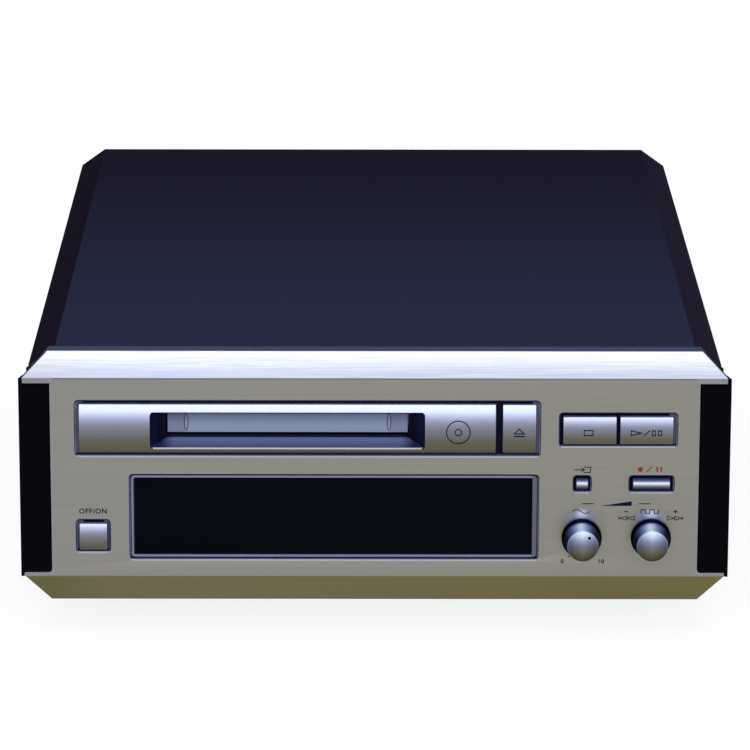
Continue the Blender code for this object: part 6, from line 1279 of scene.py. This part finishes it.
KNOB_SILVER = satin_silver("knob_silver", KNOB_LIT_TONES, KNOB_LIT_SIDE_TONES, roughness=0.34, metallic=0.35, top_metallic=0.2,
                           specular=0.0, painted_by_place=knob_shades)
KNOB_SILVER.node_tree.nodes["Principled BSDF"].inputs["Specular Tint"].default_value = shade(*KNOB_TINT)
INK = moulded("dark_ink", INK_COLOUR, 0.5, 0.2 * MM, 0.002 * MM, specular=0.02)
forward = (0, -1, 0)
for name, body in (("analog", "analog_control"), ("digital", "digital_control")):
    low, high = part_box(name + "_knob")
    foot = Vector(((low.x + high.x) / 2, FACE_Y, (low.z + high.z) / 2))
    knob = turned(name + "_knob_cap", knob_profile(), foot, forward, KNOB_SILVER, steps=96)
    if name == "analog":
        spot = foot + Vector((POINTER_ORBIT * math.sin(POINTER_ANGLE), 0, POINTER_ORBIT * math.cos(POINTER_ANGLE)))
        drill = turned("drill", [(0, 0), (POINTER_RADIUS, 0), (POINTER_RADIUS, 2 * MM), (0, 2 * MM)],
                       (spot.x, FACE_Y - KNOB_EDGE_REACH, spot.z), forward, KNOB_SILVER, steps=24)
        combine(knob, "DIFFERENCE", [drill])
        paint = turned("pointer_paint", [(0, -0.1 * MM), (POINTER_RADIUS - 0.02 * MM, -0.1 * MM),
                                         (POINTER_RADIUS - 0.02 * MM, 0.1 * MM), (0, 0.1 * MM)],
                       (spot.x, FACE_Y - KNOB_EDGE_REACH, spot.z), forward, INK, steps=24)
        fasten(paint, body, "knob_silver")
    fasten(knob, body, "knob_silver", name + "_knob")

# Printed marks
# Thin screen-printed ink: symbols on the keys, a short scale at the left knob, signs for the two kinds
# of input and the level, and off and on over the power key. The places of the names are bare.
INK_PROUD = 0.02 * MM
INK_BED = 0.05 * MM
LINE = 0.33 * MM
FINE_LINE = 0.27 * MM
LETTER_WEIGHT = 0.05 * MM
RED_INK_COLOUR = (142, 40, 52)
LEVEL_WEDGE = ((69.4, 22.6), (78.8, 22.6), (78.8, 24.1))
FACE_LINES = (
    ((63.6, 23.3), (67.2, 23.3)), ((81.0, 23.3), (84.6, 23.3)),
    ((81.7, 20.2), (81.7, 21.4), (83.05, 21.4), (83.05, 20.2), (84.4, 20.2), (84.4, 21.4), (85.75, 21.4),
     (85.75, 20.2), (87.1, 20.2), (87.1, 21.4)),
    ((76.5, 20.8), (77.75, 20.8)), ((91.6, 20.8), (92.9, 20.8)), ((92.25, 20.15), (92.25, 21.45)),
    ((61.0, 34.1), (64.2, 34.1)), ((63.2, 33.4), (64.2, 34.1), (63.2, 34.8)),
    ((64.0, 33.25), (66.0, 33.25), (66.0, 34.95), (64.0, 34.95)))
SKIP_LENGTH = 2.3
SKIP_SPAN = (18.05, 19.3)
SKIP_BAR = 4.75
SKIP_LINE = 0.22 * MM
SKIP_BAR_LINE = 0.24 * MM


def marked(*points):
    """Places given in millimetres right of the middle and above the lower edge of the flat face."""
    return [(x * MM, up(z * MM)) for x, z in points]


def ribbon(points, width=LINE, closed=False):
    """Quads of a line of even width drawn through points, with mitred corners."""
    count = len(points)
    sides = []
    for i, point in enumerate(points):
        before = points[i - 1] if closed or i else None
        after = points[(i + 1) % count] if closed or i < count - 1 else None
        turns = []
        for a, b in ((before, point), (point, after)):
            if a is not None and b is not None:
                heading = Vector((b[0] - a[0], b[1] - a[1])).normalized()
                turns.append(Vector((-heading.y, heading.x)))
        mitre = sum(turns, Vector((0, 0)))
        mitre = mitre * (width / 2 * len(turns) / mitre.dot(mitre)) if len(turns) == 2 else mitre * (width / 2)
        sides.append((Vector(point) + mitre, Vector(point) - mitre))
    pairs = zip(sides, sides[1:] + sides[:1]) if closed else zip(sides, sides[1:])
    return [(a[0], b[0], b[1], a[1]) for a, b in pairs]


def printed(name, shapes, ink, body, slot, surface):
    """Thin closed layers of ink in flat shapes, laid on a surface that gives a depth for a height."""
    bm = bmesh.new()
    for outline in shapes:
        front = [bm.verts.new((x, at(surface(z) - INK_PROUD), z)) for x, z in outline]
        back = [bm.verts.new((x, at(surface(z) + INK_BED), z)) for x, z in outline]
        bm.faces.new(front)
        bm.faces.new(back)
        skin(bm, front, back)
    bmesh.ops.recalc_face_normals(bm, faces=bm.faces)
    mesh = bpy.data.meshes.new(name)
    bm.to_mesh(mesh)
    bm.free()
    mesh.materials.append(ink)
    return fasten(new_object(name, mesh), body, slot)


def flat(z):
    """Surface of the panel's flat face."""
    return 0.0


def disc(x, z, radius, steps=24):
    """Filled round spot."""
    return oval(x, z, 2 * radius, 2 * radius, steps)


def triangle(left, right, low, high):
    """Corners of a triangle that points to right, which may lie left of left."""
    return [(left, low), (right, (low + high) / 2), (left, high)]


def box_line(left, right, low, high):
    """Corners of an upright rectangle."""
    return [(left, low), (right, low), (right, high), (left, high)]


def lettered(name, words, x, z, height, ink, spacing=1.0):
    """Short word or number, centred, printed on the flat face."""
    text = bpy.data.curves.new(name, "FONT")
    text.body = words
    text.size = height / 0.7
    text.align_x = "CENTER"
    text.space_character = spacing
    text.offset = LETTER_WEIGHT
    text.extrude = (INK_PROUD + INK_BED) / 2
    text.resolution_u = 3
    writer = new_object(name, text)
    bpy.context.view_layer.update()
    mesh = bpy.data.meshes.new_from_object(writer.evaluated_get(bpy.context.evaluated_depsgraph_get()))
    bpy.data.objects.remove(writer, do_unlink=True)
    upright = Matrix.Rotation(math.pi / 2, 4, "X")
    mesh.transform(Matrix.Translation((x, at((INK_BED - INK_PROUD) / 2), z)) @ upright)
    mesh.materials.clear()
    mesh.materials.append(ink)
    return fasten(new_object(name, mesh), "deck", "brushed_aluminium")


RED_INK = moulded("red_ink", RED_INK_COLOUR, 0.5, 0.2 * MM, 0.002 * MM, specular=0.2)
eject_mark = ribbon(marked((42.6, 45.45), (44.1, 47.0), (45.6, 45.45)), closed=True)
eject_mark.append(marked(*box_line(42.45, 45.75, 44.43, 44.85)))
stop_mark = ribbon(marked(*box_line(63.95, 66.65, 44.95, 46.55)), closed=True)
play_mark = ribbon(marked(*triangle(78.35, 81.45, 44.98, 46.5)), closed=True)
play_mark += ribbon(marked((82.15, 44.86), (84.0, 46.6)))
for left in (84.75, 86.65):
    play_mark += ribbon(marked(*box_line(left, left + 0.95, 44.95, 46.5)), closed=True)
for name, shapes in (("eject", eject_mark), ("stop", stop_mark), ("play", play_mark)):
    span, crown, sag = key_surfaces[name]
    printed(name + "_symbol", shapes, INK, name + "_key", "silver_plastic",
            lambda z: bow_depth(z, span, crown, sag))

sign = []
for radius, steps in ((3.6, 48), (1.0, 24)):
    sign += ribbon(marked(*disc(25.5, 45.85, radius, steps)), closed=True)
printed("disc_symbol", sign, INK, "deck", "silver_plastic",
        lambda z: bow_depth(z, LOADER_Z, KEY_CROWN, TALL_SAG))

sine = [(60.6 + 5.4 * step / 24, 20.8 + 0.62 * math.sin(math.tau * step / 24)) for step in range(25)]
marks = [marked(*LEVEL_WEDGE), marked(*disc(59.73, 6.39, 0.27, 16))]
for points in (sine, *FACE_LINES):
    marks += ribbon(marked(*points), FINE_LINE)
for start, way in ((79.7, -1), (89.75, 1)):
    for count in range(2):
        left = start + way * count * SKIP_LENGTH
        marks += ribbon(marked(*triangle(left, left + way * SKIP_LENGTH, *SKIP_SPAN)), SKIP_LINE, closed=True)
    end = start + way * SKIP_BAR
    marks += ribbon(marked(*((end, z) for z in SKIP_SPAN)), SKIP_BAR_LINE)
printed("panel_symbols", marks, INK, "deck", "brushed_aluminium", flat)
record_marks = [marked(*disc(81.3, 34.25, 0.8)), *ribbon(marked((83.2, 33.4), (84.9, 35.1)))]
record_marks += [marked(*box_line(left, left + 0.55, 33.47, 35.03)) for left in (86.2, 87.4)]
printed("record_symbols", record_marks, RED_INK, "deck", "brushed_aluminium", flat)
for name, words, x, z, height, spacing in (("power_words", "OFF/ON", -86.4, 20.0, 1.55, 1.1),
                                           ("scale_start", "0", 57.7, 4.2, 1.3, 1.0),
                                           ("scale_end", "10", 69.6, 4.2, 1.3, 1.1)):
    lettered(name, words, x * MM, up(z * MM), height * MM, INK, spacing)

# Top cover
# Steel sheet folded over the top and both sides, its long edges chamfered, sprayed in a dark blue
# textured paint. It slides in behind the front panel and is screwed at the sides and the back.
# Painted light makes the top bluer towards the front; painted shade darkens the chamfers and sides, less on the
# right.
COVER_FRONT_TONE = (42, 47, 70)
COVER_BACK_TONE = (30, 28, 44)
COVER_EDGE_TONE = (28, 24, 37)
COVER_RIGHT_EDGE_TONE = (36, 34, 50)
SCREW_BLACK_LIGHT = (58, 58, 62)
SCREW_BLACK_DARK = (34, 34, 38)
SCREW_RADIUS = 2.9 * MM
SCREW_HEIGHT = 1.6 * MM
SCREW_DOME = 1.05 * MM
COVER_SCREWS = (("cover_screw_left_front", (-1, 0, 0)), ("cover_screw_left_rear", (-1, 0, 0)),
                ("cover_screw_right_front", (1, 0, 0)), ("cover_screw_right_rear", (1, 0, 0)),
                ("rear_screw_left", (0, 1, 0)), ("rear_screw_right", (0, 1, 0)))


def dark_cover_paint():
    """Fine-textured dark paint with painted light, bluer towards the front, and painted shade, browner on the
    chamfers and sides.
    """
    finish, tree, shader, place = new_finish("dark_cover_paint", 0.48, specular=0.0)
    low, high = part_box("top_cover")
    grain = grain_of(tree, place, 0.22 * MM)
    depth = share_along(tree, place["Object"], (0, 1, 0), low.y, high.y)
    tilt = tilt_of(tree)
    top = mixed(tree, depth, shade(*COVER_FRONT_TONE), shade(*COVER_BACK_TONE))
    right = share_along(tree, place["Object"], (1, 0, 0), 0.0, high.x)
    edge = mixed(tree, right, shade(*COVER_EDGE_TONE), shade(*COVER_RIGHT_EDGE_TONE))
    tone = mixed(tree, tilt["Side"], top, edge)
    tree.links.new(mixed(tree, between(tree, grain["Tone"], 0.0, 0.2), tone, shade(*COVER_BACK_TONE)),
                   shader["Base Color"])
    tree.links.new(between(tree, grain["Tone"], 0.42, 0.56), shader["Roughness"])
    relief(tree, shader, grain["Height"], 0.012 * MM)
    return finish


def screw_heads():
    """Geometry tree: domed heads with a cross recess, stood up along their axes."""
    tree, given, result = new_group("screw_heads", "GeometryNodeTree",
                                    (("Places", "Geometry"), ("Radius", "Float"), ("Height", "Float"),
                                     ("Recess", "Float"), ("Seed", "Int"), ("Material", "Material")),
                                    (("Geometry", "Geometry"),))
    blank = add(tree, "GeometryNodeMeshCylinder", {"Vertices": 32, "Side Segments": 5, "Fill Segments": 4,
                                                   "Radius": given["Radius"], "Depth": given["Height"]})
    here = add(tree, "GeometryNodeInputPosition").outputs[0]
    parts = add(tree, "ShaderNodeSeparateXYZ", {0: here}).outputs
    level = figured(tree, "MULTIPLY_ADD", figured(tree, "DIVIDE", parts["Z"], given["Height"]), 1.0, 0.5)
    across = add(tree, "ShaderNodeCombineXYZ", {"X": parts["X"], "Y": parts["Y"]})
    spread = add(tree, "ShaderNodeVectorMath", {0: across.outputs[0]}, operation="LENGTH").outputs["Value"]
    edge = figured(tree, "POWER", figured(tree, "DIVIDE", spread, given["Radius"]), 2.0)
    squeeze = figured(tree, "MULTIPLY_ADD", figured(tree, "POWER", level, 3.0), -0.16, 1.0)
    drop = product(tree, product(tree, edge, figured(tree, "POWER", level, 2.0)),
                   product(tree, given["Height"], 0.42))
    domed = add(tree, "ShaderNodeCombineXYZ", {"X": product(tree, parts["X"], squeeze),
                                               "Y": product(tree, parts["Y"], squeeze),
                                               "Z": figured(tree, "SUBTRACT", figured(
                                                   tree, "MULTIPLY_ADD", given["Height"], 0.5, parts["Z"]), drop)})
    head = add(tree, "GeometryNodeSetPosition", {"Geometry": blank.outputs[0], "Position": domed.outputs[0]})
    long_arm = product(tree, given["Radius"], 1.05)
    thin_arm = product(tree, given["Radius"], 0.22)
    deep = product(tree, given["Recess"], 2.0)
    lift = add(tree, "ShaderNodeCombineXYZ", {"Z": given["Height"]}).outputs[0]
    cutters = []
    for wide, tall in ((long_arm, thin_arm), (thin_arm, long_arm)):
        size = add(tree, "ShaderNodeCombineXYZ", {"X": wide, "Y": tall, "Z": deep}).outputs[0]
        bar = add(tree, "GeometryNodeMeshCube", {"Size": size})
        cutters.append(add(tree, "GeometryNodeTransform", {"Geometry": bar.outputs[0], "Translation": lift}))
    cross = add(tree, "GeometryNodeMeshBoolean", operation="UNION", solver="EXACT")
    cut = add(tree, "GeometryNodeMeshBoolean", {"Mesh 1": head.outputs[0]}, operation="DIFFERENCE", solver="EXACT")
    for cutter in cutters:
        tree.links.new(cutter.outputs[0], cross.inputs["Mesh 2"])
    tree.links.new(cross.outputs[0], cut.inputs["Mesh 2"])
    return finish_tree(tree, given, result, given["Places"], cut.outputs[0], given["Seed"])


cover = softened("top_cover", 0.35 * MM, dark_cover_paint(), segments=3, sharp=30)
fasten(cover, "deck", "dark_paint", "top_cover")
BLACK_STEEL = sheet_metal("blackened_steel", SCREW_BLACK_LIGHT, SCREW_BLACK_DARK, 0.34, 0.4 * MM)
SCREW_TREE = screw_heads()
seats = []
for node, direction in COVER_SCREWS:
    low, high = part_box(node)
    outward = Vector(direction)
    middle = (low + high) / 2
    tip = Vector([high[i] if direction[i] > 0 else low[i] if direction[i] < 0 else middle[i] for i in range(3)])
    seats.append((tip - outward * SCREW_HEIGHT, outward))
heads = grown("cover_screws", SCREW_TREE, seats, {"Radius": SCREW_RADIUS, "Height": SCREW_DOME,
                                                  "Recess": 0.6 * MM, "Seed": 7}, BLACK_STEEL)
fasten(heads, "deck", "black_steel", *(node for node, direction in COVER_SCREWS))
foot_seats = [(place + Vector((0, 0, SCREW_WELL_DEPTH)), Vector((0, 0, -1))) for place in foot_places]
foot_heads = grown("foot_screws", SCREW_TREE, foot_seats, {"Radius": 3.2 * MM, "Height": 1.8 * MM,
                                                           "Recess": 0.9 * MM, "Seed": 9}, BLACK_STEEL)
fasten(foot_heads, "deck", "black_steel")

# Studio
# A pale floor that keeps a soft shadow, a large window-like panel of light in front, one overhead, and
# the camera where the photograph was taken from.
FLOOR_HALF = 5.0
FLOOR_DROP = 0.05 * MM
FLOOR_TONE = (236, 236, 236)
FLOOR_GLOW_SHARE = 0.75
FLOOR_GLOW = 1.12
WORLD_LIGHT = 0.55
FRONT_LIGHT = 2.2
TOP_LIGHT = 1.0
CAMERA_PLACE = (-4.3 * MM, FACE_Y - 1368.7 * MM, FACE_BOTTOM + 428.6 * MM)
CAMERA_YAW = math.radians(0.180)
CAMERA_PITCH = math.radians(14.914)
CAMERA_ROLL = math.radians(0.119)
SENSOR_WIDTH = 36.0
FOCAL_WIDTHS = 6.2049


def seen_directly(tree):
    """1 for rays from the camera or off metal and glass, which see the white background."""
    rays = add(tree, "ShaderNodeLightPath").outputs
    first = figured(tree, "MAXIMUM", rays["Is Camera Ray"], rays["Is Glossy Ray"])
    return figured(tree, "MAXIMUM", first, rays["Is Transmission Ray"])


def white_floor():
    """Pale floor that shows white where it is lit and keeps the shadow of what stands on it."""
    finish, tree, shader, place = new_finish("white_floor", 0.9, specular=0.0)
    cloud = add(tree, "ShaderNodeTexNoise", {"Vector": place["Object"], "Scale": 1.5}).outputs[0]
    tree.links.new(mixed(tree, cloud, shade(*FLOOR_TONE), (0.9, 0.9, 0.9, 1.0)), shader["Base Color"])
    glow = add(tree, "ShaderNodeEmission", {"Color": (1, 1, 1, 1), "Strength": FLOOR_GLOW})
    share = product(tree, seen_directly(tree), FLOOR_GLOW_SHARE)
    surface = add(tree, "ShaderNodeMixShader", {0: share, 1: tree.nodes["Principled BSDF"].outputs[0],
                                                2: glow.outputs[0]})
    tree.links.new(surface.outputs[0], tree.nodes["Material Output"].inputs["Surface"])
    return finish


def light_panel(name, place, target, size, brightness):
    """Rectangular soft light of a given brightness, aimed at a point."""
    lamp = bpy.data.lights.new(name, "AREA")
    lamp.shape = "RECTANGLE"
    lamp.size, lamp.size_y = size
    lamp.energy = brightness * math.pi * size[0] * size[1]
    holder = new_object(name, lamp)
    aim = Vector(target) - Vector(place)
    holder.matrix_world = Matrix.Translation(place) @ aim.to_track_quat("-Z", "Y").to_matrix().to_4x4()
    holder.visible_camera = False


bm = bmesh.new()
bm.faces.new([bm.verts.new((x * FLOOR_HALF, y * FLOOR_HALF, -FLOOR_DROP))
              for x, y in ((-1, -1), (1, -1), (1, 1), (-1, 1))])
floor = make_piece("floor", bm, white_floor())

world = bpy.data.worlds.new("studio")
bpy.context.scene.world = world
world.use_nodes = True
sky = world.node_tree
plain = sky.nodes["Background"]
plain.inputs["Color"].default_value = (1, 1, 1, 1)
plain.inputs["Strength"].default_value = WORLD_LIGHT
white = add(sky, "ShaderNodeBackground", {"Color": (1, 1, 1, 1), "Strength": 1.0})
both = add(sky, "ShaderNodeMixShader", {0: seen_directly(sky), 1: plain.outputs[0], 2: white.outputs[0]})
sky.links.new(both.outputs[0], sky.nodes["World Output"].inputs["Surface"])

light_panel("front_panel_light", (0, -2.4, 1.04), (0, -0.1, 0.06), (2.6, 1.6), FRONT_LIGHT)
light_panel("overhead_light", (0, 0.1, 1.7), (0, 0, 0), (1.6, 1.4), TOP_LIGHT)

ahead = Vector((math.sin(CAMERA_YAW) * math.cos(CAMERA_PITCH), math.cos(CAMERA_YAW) * math.cos(CAMERA_PITCH),
                -math.sin(CAMERA_PITCH)))
level_right = Vector((math.cos(CAMERA_YAW), -math.sin(CAMERA_YAW), 0))
level_up = level_right.cross(ahead)
right = math.cos(CAMERA_ROLL) * level_right + math.sin(CAMERA_ROLL) * level_up
over = math.cos(CAMERA_ROLL) * level_up - math.sin(CAMERA_ROLL) * level_right
lens_data = bpy.data.cameras.new("camera")
lens_data.sensor_width = SENSOR_WIDTH
lens_data.lens = FOCAL_WIDTHS * SENSOR_WIDTH
lens_data.clip_end = 50.0
camera = new_object("camera", lens_data)
camera.matrix_world = Matrix.Translation(CAMERA_PLACE) @ Matrix((right, over, -ahead)).transposed().to_4x4()
bpy.context.scene.camera = camera
bpy.context.scene.view_settings.view_transform = "Standard"
